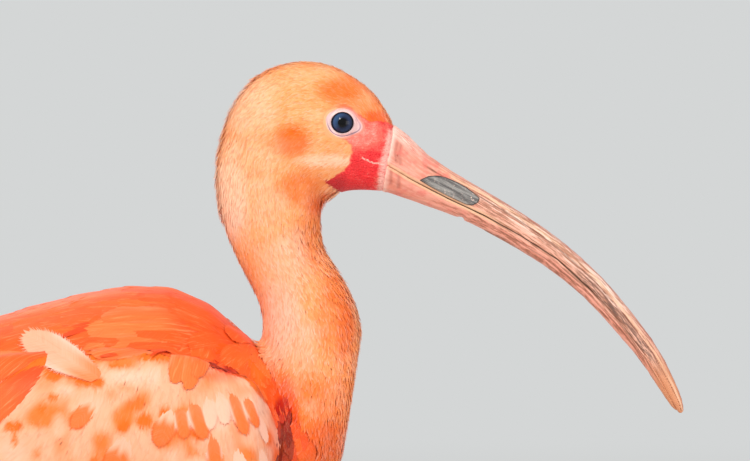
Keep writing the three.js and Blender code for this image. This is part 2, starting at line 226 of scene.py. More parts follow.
def fused(name, nodes, growth, grain):
    """One closed skin over copies of some of the frame's nodes."""
    copies = []
    for node in nodes:
        copy = bpy.data.objects.new(name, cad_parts[node].data.copy())
        bpy.context.scene.collection.objects.link(copy)
        copies.append(copy)
    only(*copies)
    if len(copies) > 1:
        bpy.ops.object.join()
    obj = bpy.context.view_layer.objects.active
    obj.name = obj.data.name = name
    obj.data.materials.clear()
    edited(obj, bpy.ops.mesh.remove_doubles, threshold=SAME_POINT * MM)
    if growth:
        shaped(obj, "DISPLACE", strength=growth * MM, mid_level=0)
    shaped(obj, "REMESH", mode="VOXEL", voxel_size=grain * MM, use_smooth_shade=True)
    return largest_shell(obj)


def largest_shell(obj):
    """Drops the hollows that a remesh leaves inside."""
    mesh = obj.data
    edges = np.empty(len(mesh.edges) * 2, np.int32)
    mesh.edges.foreach_get("vertices", edges)
    a, b = edges.reshape(-1, 2).T
    label = np.arange(len(mesh.vertices))
    while True:
        low = np.minimum(label[a], label[b])
        new = label.copy()
        np.minimum.at(new, a, low)
        np.minimum.at(new, b, low)
        new = new[new]
        if (new == label).all():
            break
        label = new
    names, counts = np.unique(label, return_counts=True)
    if len(names) > 1:
        loose = label != names[counts.argmax()]
        only(obj)
        bpy.ops.object.mode_set(mode="EDIT")
        bpy.ops.mesh.select_all(action="DESELECT")
        bpy.ops.object.mode_set(mode="OBJECT")
        mesh.vertices.foreach_set("select", loose)
        bpy.ops.object.mode_set(mode="EDIT")
        bpy.ops.mesh.delete(type="VERT")
        bpy.ops.object.mode_set(mode="OBJECT")
    return obj


def softened(obj, rounds, weight=None):
    """Smooths the facets away; weight says how much at each vertex."""
    settings = {"factor": 0.5, "iterations": rounds}
    if weight is not None:
        group = obj.vertex_groups.new(name="soft")
        for level in range(1, 11):
            group.add(np.flatnonzero(np.round(weight * 10) == level).tolist(), level / 10, "REPLACE")
        settings["vertex_group"] = group.name
    shaped(obj, "SMOOTH", **settings)
    obj.vertex_groups.clear()


# The bird's own landmarks, seen from the side (x, z)
def eye_centre():
    low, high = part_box("eye_left")
    return np.array((low + high) / 2) / MM + EYE_SHIFT


EYE = eye_centre()
BILL_BASE_X = 96.5
SKIN_INSIDE_BILL = 5
CUFF_HEIGHT = 137  # the thigh's feathers end here
HEAD_FROM = 300  # the height where the head and its down begin
CHIN_RISE = 0.4  # how far the chin lies above the frame's underside
BARE_FACE = [
    (101, 330.5), (96, 332.8), (90, 333), (86.6, 335), (83.2, 337.6), (79.7, 337.6), (76.2, 334.9),
    (75.7, 330.7), (78.5, 327.8), (81, 326.8), (83.6, 324.9), (84.4, 322.1), (83.3, 319.5), (83.6, 318.3),
    (80.9, 315.4), (78, 313.4), (74.7, 312.8), (75.1, 311.2), (79.5, 308.5), (84, 305), (100, 305),
]


def bare(p):
    """1 on the bare skin of the face and of the legs, 0 under feathers."""
    ragged = 0.9 * (blotches(p * (0.6, 1, 1.3), 1.3, 9) - 0.5)
    face = fade(inside_by(p, BARE_FACE) + ragged, -0.25, 0.3) * (p[:, 2] > HEAD_FROM)
    leg = 1 - fade(p[:, 2], CUFF_HEIGHT - 4, CUFF_HEIGHT + 2)
    return np.maximum(face, leg)


def coat_depth(p):
    """How deep the plumage stands over the skin."""
    head = fade(p[:, 2], 296, 316)
    neck = fade(p[:, 2], 226, 262) * (p[:, 0] > 30)
    body = 0.8 * (1 - neck) + 0.35 * neck
    depth = body * (1 - head) + 0.2 * head
    thigh = fade(p[:, 2], CUFF_HEIGHT, 172)
    return depth * (0.35 + 0.65 * thigh) * (1 - bare(p))


# The lie of the plumage: place (x, z) and direction (x, z)
BODY_LIE = [
    ((94, 338), (-0.55, 0.84)), ((86, 346), (-0.8, 0.6)), ((70, 353), (-1, 0)), ((52, 346), (-0.75, -0.65)),
    ((41, 330), (-0.45, -0.9)), ((80, 342), (-1, 0.12)), ((68, 333), (-1, -0.15)),
    ((56, 334), (-0.8, -0.6)), ((75, 322), (-0.93, -0.36)), ((60, 322), (-0.6, -0.8)),
    ((80, 315), (-0.85, -0.52)), ((70, 307), (-0.45, -0.9)), ((47, 312), (-0.15, -1)),
    ((57, 303), (0.02, -1)), ((58, 292), (0.2, -1)), ((62, 281), (0.42, -0.9)), ((68, 268), (0.25, -1)),
    ((70, 252), (0, -1)), ((72, 238), (-0.05, -1)), ((72, 222), (-0.1, -1)), ((58, 240), (-0.25, -1)),
    ((47, 252), (-0.6, -0.8)), ((62, 205), (-0.45, -0.9)), ((40, 262), (-0.95, 0.25)), ((10, 275), (-1, 0)),
    ((-40, 264), (-1, -0.28)), ((-100, 240), (-1, -0.4)), ((45, 230), (-0.75, -0.65)),
    ((20, 220), (-0.9, -0.4)), ((40, 178), (-0.9, -0.4)), ((0, 166), (-1, 0)), ((-60, 176), (-1, 0.3)),
    ((-120, 203), (-1, 0.25)), ((-60, 215), (-1, -0.1)), ((-160, 205), (-1, -0.12)),
]
THIGH_LIE = [
    ((0, 170), (-0.6, -0.8)), ((-8, 150), (-0.35, -0.95)), ((-12, 137), (-0.2, -1)), ((-18, 100), (0, -1)),
]
WING_LIE = [
    ((57, 238), (0.32, -0.95)), ((52, 215), (0.1, -1)), ((40, 240), (0.05, -1)), ((30, 215), (-0.2, -1)),
    ((10, 240), (-0.3, -0.95)), ((0, 210), (-0.4, -0.9)), ((-20, 240), (-0.6, -0.8)),
    ((-40, 215), (-0.7, -0.7)), ((-70, 225), (-0.85, -0.5)), ((-90, 205), (-0.95, -0.3)),
    ((-130, 210), (-1, -0.16)), ((-195, 205), (-1, -0.12)),
]


def pointed(p, guides):
    """Directions blended from the guides near each point."""
    total = np.zeros((len(p), 3))
    for place, way in guides:
        near = ((p[:, 0] - place[0]) ** 2 + (p[:, 2] - place[1]) ** 2 + 9.0) ** -2
        total[:, 0] += near * way[0]
        total[:, 2] += near * way[1]
    return unit(total)


class Surface:
    """A closed surface that places, normals and the lie of the plumage are read from."""

    def __init__(self, obj):
        self.points = points_of(obj.data)
        self.triangles = triangles_of(obj.data)
        self.normals = normals_of(self.points, self.triangles)
        self.tree = BVHTree.FromPolygons(self.points.tolist(), self.triangles.tolist())
        self.zone = zones_at(self.points)
        self.lie = self.lies()

    def lies(self):
        p, n = self.points, self.normals
        on_wing = np.isin(self.zone, [ZONES.index("wing"), ZONES.index("flight_feathers")])[:, None]
        on_thigh = (self.zone == ZONES.index("thigh"))[:, None]
        way = np.where(on_wing, pointed(p, WING_LIE), pointed(p, BODY_LIE))
        way = np.where(on_thigh, pointed(p, THIGH_LIE), way)
        inward = np.zeros_like(way)
        inward[:, 1] = -np.sign(p[:, 1]) * 0.12 * fade(np.abs(p[:, 1]), 2, 14)
        way = way + inward * (p[:, 2:] < 290) * ~on_wing
        return unit(way - (way * n).sum(1, keepdims=True) * n)

    def at(self, p):
        """For each point its nearest place on the surface, the normal, the lie and the triangle."""
        spots = np.empty((len(p), 3))
        found = np.empty(len(p), int)
        for i, q in enumerate(p.tolist()):
            spots[i], _, found[i], _ = self.tree.find_nearest(q)
        corners = self.triangles[found]
        a, b, c = (self.points[corners[:, k]] for k in range(3))
        whole = np.cross(b - a, c - a)
        area = np.maximum((whole**2).sum(1), 1e-12)
        share = np.empty((len(p), 3))
        share[:, 1] = (np.cross(spots - a, c - a) * whole).sum(1) / area
        share[:, 2] = (np.cross(b - a, spots - a) * whole).sum(1) / area
        share[:, 0] = 1 - share[:, 1] - share[:, 2]
        share = np.clip(share, 0, 1)
        normal = unit((self.normals[corners] * share[..., None]).sum(1))
        lie = (self.lie[corners] * share[..., None]).sum(1)
        lie = unit(lie - (lie * normal).sum(1, keepdims=True) * normal)
        return spots, normal, lie, found

    def scattered(self, wanted, spacing, seed):
        """Roots spread evenly over the part of the surface where wanted(points) is true."""
        rng = np.random.default_rng(seed)
        a, b, c = (self.points[self.triangles[:, k]] for k in range(3))
        area = np.linalg.norm(np.cross(b - a, c - a), axis=1) / 2
        middle, first = (a + b + c) / 3, self.triangles[:, 0]
        chosen = np.flatnonzero(wanted(middle, self.zone[first], self.normals[first]))
        count = int(area[chosen].sum() / spacing**2 * 4) + 8
        picks = chosen[rng.choice(len(chosen), count, p=area[chosen] / area[chosen].sum())]
        u, v = rng.random((2, count, 1))
        over = u + v > 1
        u, v = np.where(over, 1 - u, u), np.where(over, 1 - v, v)
        spots = a[picks] + (b[picks] - a[picks]) * u + (c[picks] - a[picks]) * v
        return thinned(spots, spacing * 0.88)


def thinned(spots, spacing):
    """Drops every spot that has a kept one within the spacing."""
    tree = KDTree(len(spots))
    rows = spots.tolist()
    for i, spot in enumerate(rows):
        tree.insert(spot, i)
    tree.balance()
    kept = np.ones(len(spots), bool)
    for i, spot in enumerate(rows):
        if kept[i]:
            for _, j, _ in tree.find_range(spot, spacing):
                if j > i:
                    kept[j] = False
    return spots[kept]


def zones_at(p):
    """Which part of the bird each point belongs to: the kind of the frame's nearest node."""
    corners, kinds = [], []
    for node in nodes_named(*FLESH, *PLUMES):
        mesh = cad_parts[node].data
        kind = next((i for i, zone in enumerate(ZONES) if node.startswith(zone)), ZONES.index("leg"))
        part = points_of(mesh)[triangles_of(mesh)].reshape(-1, 3)
        corners.append(part)
        kinds.append(np.full(len(part) // 3, kind))
    corners, kinds = np.concatenate(corners), np.concatenate(kinds)
    tree = BVHTree.FromPolygons(corners.tolist(), np.arange(len(corners)).reshape(-1, 3).tolist())
    return kinds[[tree.find_nearest(q)[2] for q in p.tolist()]]


# Shader expressions
class Value:
    """A shader socket: Python's operators on it add Math nodes."""

    def __init__(self, finish, socket):
        self.finish = finish
        self.socket = socket

    def math(self, operation, *others):
        return self.finish.node("Math", {"operation": operation}, dict(enumerate((self, *others))))

    def __add__(self, other):
        return self.math("ADD", other)

    __radd__ = __add__

    def __sub__(self, other):
        return self.math("SUBTRACT", other)

    def __rsub__(self, other):
        return self.finish.node("Math", {"operation": "SUBTRACT"}, {0: other, 1: self})

    def __mul__(self, other):
        return self.math("MULTIPLY", other)

    __rmul__ = __mul__

    def __truediv__(self, other):
        return self.math("DIVIDE", other)

    def __pow__(self, other):
        return self.math("POWER", other)

    def between(self, low, high):
        """A smooth step from 0 at low to 1 at high."""
        steps = {"interpolation_type": "SMOOTHSTEP"}
        return self.finish.node("MapRange", steps, {"Value": self, "From Min": low, "From Max": high})


class Finish:
    """One material, made around a Principled shader."""

    def __init__(self, name, **constants):
        self.material = bpy.data.materials.new(name)
        self.material.use_nodes = True
        self.tree = self.material.node_tree
        self.shader = self.tree.nodes["Principled BSDF"]
        for key, value in constants.items():
            self.shader.inputs[key.replace("_", " ")].default_value = value

    def node(self, kind, settings, inputs, output=0):
        """Adds a node: its settings first, then the values or links of its sockets."""
        node = self.tree.nodes.new("ShaderNode" + kind)
        for key, value in settings.items():
            setattr(node, key, value)
        for key, value in inputs.items():
            if isinstance(value, Value):
                self.tree.links.new(value.socket, node.inputs[key])
            else:
                node.inputs[key].default_value = value
        return Value(self, node.outputs[output])

    def place(self):
        return self.node("TexCoord", {}, {}, "Object")

    def attribute(self, name, output="Fac"):
        return self.node("Attribute", {"attribute_name": name}, {}, output)

    def parts(self, vector):
        return [self.node("SeparateXYZ", {}, {0: vector}, k) for k in range(3)]

    def vector(self, x, y, z):
        return self.node("CombineXYZ", {}, {0: x, 1: y, 2: z})

    def grain(self, vector, scale, detail, roughness):
        inputs = {"Vector": vector, "Scale": scale, "Detail": detail, "Roughness": roughness}
        return self.node("TexNoise", {}, inputs, "Fac")

    def noise(self, vector, size, detail=3.0, roughness=0.55):
        """Noise from 0 to 1 whose grain is about size millimetres."""
        return self.grain(vector, 1 / (size * MM), detail, roughness)

    def mixed(self, a, b, share):
        """Colour a turning into colour b."""
        inputs = {0: share, 6: paint(a), 7: paint(b)}
        return self.node("Mix", {"data_type": "RGBA"}, inputs, 2)

    def layered(self, colour, *layers):
        """A colour with others over it, each laid on by its share."""
        for over, share in layers:
            colour = self.mixed(colour, over, share)
        return colour

    def bump(self, height, distance, strength):
        return self.node("Bump", {}, {"Height": height, "Distance": distance * MM, "Strength": strength})

    def set(self, **sockets):
        for key, value in sockets.items():
            self.tree.links.new(value.socket, self.shader.inputs[key.replace("_", " ")])
        return self.material


def paint(colour):
    """A display colour (0 to 255) as linear light, or a socket as it is."""
    if isinstance(colour, Value):
        return colour
    light = [c / 255 for c in colour]
    return (*(c / 12.92 if c <= 0.04045 else ((c + 0.055) / 1.055) ** 2.4 for c in light), 1)


# Skin
def leg_share(p):
    """1 on the feathered body, 0 on the legs, where the shapes are small."""
    return fade(p[:, 2], CUFF_HEIGHT - 10, CUFF_HEIGHT + 25)


def make_support():
    """The bird's outline with its plumage on: the surface that every feather follows."""
    obj = fused("support", nodes_named(*FLESH, *PLUMES), SEAM_GROWTH, SUPPORT_GRAIN)
    p = points_of(obj.data)
    softened(obj, 14, 0.2 + 0.8 * leg_share(p))
    surface = Surface(obj)
    bpy.data.objects.remove(obj)
    return surface


def make_skin():
    """One skin over all the flesh. It runs on a little way inside the bill, so that no edge shows there."""
    obj = fused("skin", [*nodes_named(*FLESH), "bill_upper", "bill_lower"], SEAM_GROWTH, SKIN_GRAIN)
    end = Vector((BILL_BASE_X + SKIN_INSIDE_BILL, 0, 0)) * MM
    edited(obj, bpy.ops.mesh.bisect, plane_co=end, plane_no=(1, 0, 0), use_fill=True, clear_outer=True)
    p = points_of(obj.data)
    softened(obj, 26, 0.1 + 0.9 * leg_share(p))
    p = points_of(obj.data)
    normals = normals_of(p, triangles_of(obj.data))
    from_base, _ = distance_to(p, sides_of(BILL_BASE_EDGE))
    in_bill = fade(-from_base, -0.4, 3.2) * (p[:, 2] > 280) * 1.1
    inset = coat_depth(p) + in_bill + 1.3 * eye_hollow(p)
    p = p - normals * inset[:, None]
    p[:, 2] += CHIN_RISE * fade(p[:, 0], 72, 82) * (1 - fade(p[:, 0], 86, 97)) * chin_share(p)
    set_points(obj.data, p)
    softened(obj, 3, leg_share(p) * (1 - face_share(p)))
    thin_under_plumage(obj)
    return obj


def chin_share(p):
    """1 on the underside of the lower jaw."""
    return fade(-p[:, 2], -314, -308.5) * (p[:, 2] > 296)


def face_share(p):
    """1 on the bare face only."""
    return bare(p) * (p[:, 2] > HEAD_FROM)


def eye_hollow(p):
    """1 next to the eye, where the skin dips under the lids."""
    away = np.linalg.norm(p[:, [0, 2]] - EYE[[0, 2]], axis=1)
    return (1 - fade(away, 4.0, 5.3)) * (np.abs(p[:, 1]) > 4)


def thin_under_plumage(obj):
    """Brings the skin under its number of triangles by thinning it where feathers hide it."""
    p = points_of(obj.data)
    hidden = 1 - bare(p)
    group = obj.vertex_groups.new(name="hidden")
    group.add(np.flatnonzero(hidden > 0.5).tolist(), 1.0, "REPLACE")
    share = SKIN_TRIANGLES / len(triangles_of(obj.data))
    if share < 1:
        shaped(obj, "DECIMATE", ratio=share, vertex_group="hidden", vertex_group_factor=10)
    obj.vertex_groups.clear()


# Studio
CAMERA_SPAN = 262.5  # width of the picture at the bird's middle plane
CAMERA_X = 92.2
CAMERA_HEIGHT = 294.8
LENS = 200
SENSOR = 36
BACKDROP = (212, 214, 214)
FLOOR = (214, 213, 210)


def make_camera():
    data = bpy.data.cameras.new("camera")
    data.lens = LENS
    data.sensor_width = SENSOR
    distance = CAMERA_SPAN * LENS / SENSOR
    camera = bpy.data.objects.new("camera", data)
    camera.location = Vector((CAMERA_X, -distance, CAMERA_HEIGHT)) * MM
    camera.rotation_euler = (math.radians(90), 0, 0)
    data.clip_end = 400
    bpy.context.scene.collection.objects.link(camera)
    bpy.context.scene.camera = camera


def make_light(name, place, aim, size, power, colour):
    data = bpy.data.lights.new(name, "AREA")
    data.size = size * MM
    data.energy = power
    data.color = colour
    light = bpy.data.objects.new(name, data)
    light.location = Vector(place) * MM
    light.rotation_mode = "QUATERNION"
    light.rotation_quaternion = (Vector(aim) - Vector(place)).to_track_quat("-Z", "Y")
    bpy.context.scene.collection.objects.link(light)


def make_studio():
    make_camera()
    aim = (40, 0, 270)
    make_light("key", (-450, -900, 1150), aim, 420, 12.3, (1, 0.95, 0.88))
    make_light("fill", (1100, -800, 100), aim, 1200, 10, (0.98, 0.98, 1))
    make_light("back", (-500, 900, 900), aim, 900, 4, (1, 0.97, 0.93))
    world = bpy.data.worlds.new("studio")
    world.use_nodes = True
    background = world.node_tree.nodes["Background"]
    background.inputs[0].default_value = paint(BACKDROP)
    background.inputs[1].default_value = 1
    bpy.context.scene.world = world
    bpy.context.scene.view_settings.view_transform = "Standard"
    make_floor()


def make_floor():
    """A pale floor that turns into the backdrop's own tone far from the bird, so that no horizon shows."""
    bpy.ops.mesh.primitive_plane_add(size=160, location=(0, 0, 0))
    floor = bpy.context.object
    floor.name = "floor"
    finish = Finish("studio_floor", Roughness=0.9, Emission_Strength=1.0, Specular_IOR_Level=0)
    x, y, _ = finish.parts(finish.place())
    far = ((x * x + y * y) ** 0.5).between(0.9, 4.5)
    finish.set(
        Base_Color=finish.mixed(FLOOR, (0, 0, 0), far),
        Emission_Color=finish.mixed((0, 0, 0), BACKDROP, far),
    )
    floor.data.materials.append(finish.material)


# Plumage colours, as they look in daylight
CREAM = (251, 201, 180)
PEACH = (248, 164, 106)
HEAD_CREAM = (254, 207, 170)
HEAD_PEACH = (250, 171, 110)
ORANGE = (246, 112, 36)
VERMILION = (240, 78, 22)
CRIMSON = (190, 26, 8)
# SHADED is painted shade, the deepest dark at the base of the neck between the wing and the breast
SHADED = (110, 22, 6)
INK = (34, 26, 28)


PICTURE_SCALE = 0.35  # millimetres to a pixel of the picture
PICTURE_ORIGIN = (111.5, 1072.7)  # the pixel of x 0 and the floor


def side_of(px, py):
    """A place seen in the picture, as (x, z) in millimetres."""
    return ((px - PICTURE_ORIGIN[0]) * PICTURE_SCALE, (PICTURE_ORIGIN[1] - py) * PICTURE_SCALE)


def sides_of(pixels):
    return [side_of(*pixel) for pixel in pixels]


# Coloured areas: place in the picture, radii in millimetres, strength. Some carry painted light, noted beside
# them.
WARM_AREAS = [
    ((345, 92), (11, 6), 0.75), ((366, 105), (7, 7), 0.6), ((293, 142), (8, 6.5), 1),
    # (335, 320) makes the neck's front warmer, partly as painted shade
    ((300, 190), (11, 7), 0.65), ((318, 200), (7, 8), 0.5), ((335, 320), (8, 20), 0.55),
    ((305, 405), (20, 15), 0.8), ((350, 380), (8, 26), 0.25), ((262, 395), (12, 20), 0.8),
    ((310, 240), (8, 14), 0.35), ((265, 60), (10, 6), 0.3), ((290, 460), (24, 20), 0.7),
]
PALE_AREAS = [
    ((250, 108), (13, 12), 0.5), ((258, 165), (10, 14), 0.45), ((231, 195), (8, 18), 1),
    ((325, 161), (11, 2.6), 0.9), ((341, 162), (6, 2), 1), ((341, 190), (6, 2.6), 0.9),
    # (280, 315) makes the neck's left side paler, partly as painted highlight
    ((334, 199), (4, 4), 0.6), ((285, 260), (10, 14), 0.4), ((280, 315), (9, 18), 0.6),
    ((232, 160), (6, 10), 0.5), ((270, 205), (8, 10), 0.35), ((300, 340), (8, 10), 0.3),
]
# Marks by the brow are redder plumage. Painted shade: (224, 369) in the recess at the shoulder, (284, 446) and
# (300, 452) at the neck's base between the wing and the breast, (345, 330) down the neck's front edge
RED_AND_SHADE_AREAS = [
    ((224, 369), (9, 4.5), 0.95), ((284, 446), (7, 27), 1.22), ((300, 452), (8, 12), 0.3),
    ((378, 118), (6, 3), 0.45), ((380, 128), (7, 3), 0.7), ((272, 400), (5, 16), 0.5),
    ((345, 330), (4, 14), 0.25), ((318, 205), (6, 6), 0.3), ((330, 440), (14, 10), 0.35),
]
WING_SPOTS = [  # warm round marks on the pale wing
    ((56, 363), (3.2, 2.8), 1), ((64, 370), (3.8, 3.2), 1), ((82, 366), (4.6, 4.2), 1),
    ((95, 373), (5.2, 4), 1), ((106, 377), (3.6, 3), 0.8), ((24, 376), (4.2, 4.2), 1),
    ((65, 391), (2.6, 1.8), 0.9), ((53, 402), (2.2, 2.2), 0.8), ((88, 413), (4, 4.2), 1),
    ((26, 420), (4.6, 2.4), 0.9), ((27, 432), (1.6, 4), 0.7), ((122, 452), (4.2, 4.4), 1),
    ((104, 456), (3, 4), 0.6), ((143, 398), (7, 3.6), 0.62), ((122, 390), (4, 3.4), 0.5),
    ((132, 420), (3.4, 3.6), 0.8), ((153, 415), (4.4, 3.8), 0.9), ((169, 425), (4.4, 5.2), 1),
    ((172, 408), (3, 4), 0.8), ((126, 362), (6, 1.3), 0.7), ((222, 452), (3, 5), 1),
    ((48, 446), (3, 3), 0.6), ((70, 470), (5, 4), 0.9), ((170, 480), (5, 4), 0.9),
    ((250, 486), (4, 4), 0.9), ((110, 500), (5, 4), 0.9), ((10, 480), (5, 4), 0.9),
    ((204, 424), (4.4, 5), 0.8),
]
WING_PALE = [  # where the wing is palest
    ((136, 372), (9, 3.2), 1), ((160, 372), (3, 4), 0.9), ((226, 412), (3.4, 5), 1),
    ((205, 458), (8, 4), 0.8), ((256, 404), (6, 8), 0.8), ((20, 450), (8, 7), 0.6),
    ((75, 385), (4, 2), 0.8), ((70, 420), (3, 5), 0.6), ((100, 400), (5, 4), 0.5),
    ((185, 450), (4, 6), 0.5),
]


def area_sum(p, areas):
    total = np.zeros(len(p))
    for pixel, radius, strength in areas:
        total = np.maximum(total, strength * blob(p, side_of(*pixel), radius))
    return total


def mantle_edge(x):
    """The height where the mantle and scapulars end over the folded wing."""
    return np.interp(x, [-200, -140, -60, 0, 30, 48, 60, 80], [208, 216, 236, 247, 246, 240, 225, 205])


def covert_markings(p, small, red):
    """The folded wing's shares of warm, pale and red: pale with round spots and mottles, warmer low down."""
    spot = fade(area_sum(p, WING_SPOTS) + 0.3 * (small - 0.5), 0.3, 0.75)
    mottle = 0.55 * fade(blotches(p, 7, 8), 0.42, 0.8) * fade(p[:, 2], 205, 222)
    low = 0.6 * fade(-p[:, 2], -224, -192)
    palest = np.clip(area_sum(p, WING_PALE), 0, 1)
    ground = np.clip(0.56 - 1.1 * mottle - low, 0, 1)
    warm = np.clip(0.24 + mottle + low, 0, 1) * (1 - spot) * (1 - palest) + spot
    pale = (ground + (0.95 - ground) * palest) * (1 - spot)
    return warm, pale, np.maximum(0.1 * spot, 0.35 * red)


def markings(p, zone):
    """Warm, pale and red shares of the plumage's colour at each place; the highest red shares are painted
    shade.
    """
    is_zone = {name: zone == i for i, name in enumerate(ZONES)}
    neck = is_zone["head"] | is_zone["neck"]
    small, large = blotches(p, 3.2, 5), blotches(p, 9, 6)
    warm = area_sum(p, WARM_AREAS) + 0.35 * (large - 0.45) + 0.3 * (small - 0.5)
    pale = area_sum(p, PALE_AREAS) + 0.35 * (blotches(p, 5, 7) - 0.5) + 0.25 * (0.5 - large)
    red = area_sum(p, RED_AND_SHADE_AREAS)
    back = is_zone["trunk"] & (p[:, 2] > 195)
    wing = is_zone["wing"] & (p[:, 2] < mantle_edge(p[:, 0]) + 4)
    back |= is_zone["wing"] & ~wing
    height = fade(p[:, 2], 172, 215)
    warm = np.where(back, 1.0, warm)
    warm = np.where(is_zone["trunk"] & ~back, 0.35 + 0.6 * height, warm)
    ruddy = (0.15 + 0.45 * height * large) * (1 - 0.7 * fade(p[:, 0], 44, 56))
    red = np.where(is_zone["trunk"], np.maximum(red, ruddy), red)
    pale = np.where(is_zone["trunk"], 0.35 * (1 - height) * small, pale)
    warm = np.where(is_zone["thigh"], 0.45 + 0.3 * large, warm)
    plumes = is_zone["flight_feathers"] | is_zone["tail"]
    warm = np.where(plumes, 1.0, warm)
    red = np.where(plumes, 0.5, red)
    coverts = covert_markings(p, small, red)
    warm, pale, red = (np.where(wing, on_it, off_it) for on_it, off_it in zip(coverts, (warm, pale, red)))
    pale = np.where(neck, pale, pale * 0.8)
    # red runs above 1 only for the painted shade at the neck's base
    return np.clip(np.stack([warm, pale, red], 1), 0, (1, 1, 1.4))


# Feather shapes
class Shape:
    """One feather before it is laid: each vertex's share along (0 to 1), across (-1 to 1) and its height."""

    def __init__(self, rows, triangles, loose=None):
        self.rows = np.array(rows, float)
        self.triangles = np.array(triangles, np.int32)
        self.loose = np.zeros(len(rows)) if loose is None else np.array(loose, float)


def quad(a, b, c, d):
    return [(a, b, c), (a, c, d)]


def blade(widths=((0, 0.6), (0.4, 1), (0.75, 0.7)), ridge=0.35):
    """A thin, keeled lock that ends in a point."""
    rows, faces = [], []
    for along, wide in widths:
        rows += [(along, -wide, 0), (along, 0, ridge * wide), (along, wide, 0)]
    for k in range(len(widths) - 1):
        left, keel, right = 3 * k, 3 * k + 1, 3 * k + 2
        faces += quad(left, left + 3, keel + 3, keel) + quad(keel, keel + 3, right + 3, right)
    tip = len(rows)
    rows.append((1, 0, 0))
    left, keel, right = tip - 3, tip - 2, tip - 1
    faces += [(left, tip, keel), (keel, tip, right)]
    return Shape(rows, faces)


def strand(widths=((0, 0.7), (0.3, 1), (0.65, 0.8))):
    """A flat lock that ends in a point, with enough places along it for markings that cross it."""
    rows = [(along, side * wide, 0) for along, wide in widths for side in (-1, 1)] + [(1, 0, 0)]
    faces = []
    for k in range(0, 2 * len(widths) - 2, 2):
        faces += quad(k, k + 2, k + 3, k + 1)
    return Shape(rows, faces + [(len(rows) - 3, len(rows) - 1, len(rows) - 2)])


def vane(barbs, fray, shoulder=0.5, base=0.35, sweep=0.1, tip_width=0.0, bulge=0.07, columns=1):
    """A contour feather: a shaft with barbs on both sides, whose outer ends are free.

    More columns of faces to each side carry finer markings across the feather.
    """
    rows, faces, loose = [], [], []

    def wide(t):
        if t < shoulder:
            return base + (1 - base) * math.sin(t / shoulder * math.pi / 2)
        return max(tip_width, math.sqrt(max(0.0, 1 - ((t - shoulder) / (1 - shoulder)) ** 2)))

    steps = np.linspace(0, 1, barbs + 1)
    shaft = len(rows)
    for u in steps:
        rows.append((u * (1 - sweep * 0.6), 0, bulge))
        loose.append(0)
    for side in (-1, 1):
        edges = [(0.04 + 0.96 * u**0.92, side * wide(0.04 + 0.96 * u**0.92)) for u in steps]
        lines = [shaft]
        for column in range(1, columns + 1):
            keep = (1 - fray) * column / columns
            lines.append(len(rows))
            for u, (t, wide_to) in zip(steps, edges):
                base_t = u * (1 - sweep * 0.6)
                rows.append((base_t + (t - base_t) * keep, wide_to * keep, bulge * (1 - keep**2)))
                loose.append(0)
        inner = lines[-1]
        tips = len(rows)
        for k in range(barbs):
            t = (edges[k][0] + edges[k + 1][0]) / 2 + 0.02
            rows.append((t, (edges[k][1] + edges[k + 1][1]) / 2, 0))
            loose.append(1)
        for k in range(barbs):
            tip = (inner + k, tips + k, inner + k + 1)
            faces.append(tip[::-1] if side > 0 else tip)
            for near, far in zip(lines[:-1], lines[1:]):
                corners = (near + k, near + k + 1, far + k + 1, far + k)
                faces += quad(*corners) if side > 0 else quad(*corners[::-1])
    return Shape(rows, faces, loose)


def turned(v, axis, angle):
    """Vectors turned about unit axes by angles in radians."""
    c, s = np.cos(angle)[:, None], np.sin(angle)[:, None]
    return v * c + np.cross(axis, v) * s + axis * (axis * v).sum(1, keepdims=True) * (1 - c)


SPINE = [
    (100, 316), (84, 330), (66, 332), (54, 322), (54, 308), (57, 292), (65, 274), (70, 252), (67, 236),
    (50, 222), (20, 218), (-40, 216), (-100, 212), (-200, 203),
]


def unwrapped(p):
    """Each root's place on a map of the body: round the spine across, from the bill to the tail up."""
    _, share, above = nearest_on(p, SPINE)
    whole = np.linalg.norm(np.diff(SPINE, axis=0), axis=1).sum()
    round_it = np.arctan2(p[:, 1], -above) / (2 * math.pi)
    return np.stack([0.5 + 0.97 * round_it, 0.02 + 0.96 * share / whole], 1)


def cells(count):
    """A square map parted into equal cells, for large feathers: lower corners and the cell's width."""
    side = math.ceil(math.sqrt(count))
    index = np.arange(count)
    return np.stack([index % side, index // side], 1) / side, 1 / side


def marched(support, roots, length, steps, turn, heading):
    """Runs from each root over the surface, along the lie turned by an angle, or else along a heading."""
    spots, normal, lie, found = support.at(roots)
    zone = support.zone[support.triangles[found][:, 0]]
    path, normals, ways = [], [], []
    for _ in range(steps + 1):
        if heading is None:
            way = turned(lie, normal, turn)
        else:
            way = unit(heading - (heading * normal).sum(1, keepdims=True) * normal)
        path.append(spots)
        normals.append(normal)
        ways.append(way)
        spots, normal, lie, _ = support.at(spots + way * (length / steps)[:, None])
    return np.stack(path, 1), np.stack(normals, 1), np.stack(ways, 1), zone


def lay(name, support, roots, shape, length, width, turn=0.0, heading=None, steps=3, wrap=True, **style):
    """Lays a feather of one shape at each root, along the lie of the surface or along a heading.

    Feathers that wrap follow the surface over their whole width, not only along their shafts.
    """
    count = len(roots)
    length, turn = (np.broadcast_to(np.asarray(v, float), (count,)) for v in (length, turn))
    path, normals, ways, zone = marched(support, roots, length, steps, turn, heading)
    surface = support if wrap else None
    return feathered(name, shape, path, normals, ways, zone, length, width, surface, **style)


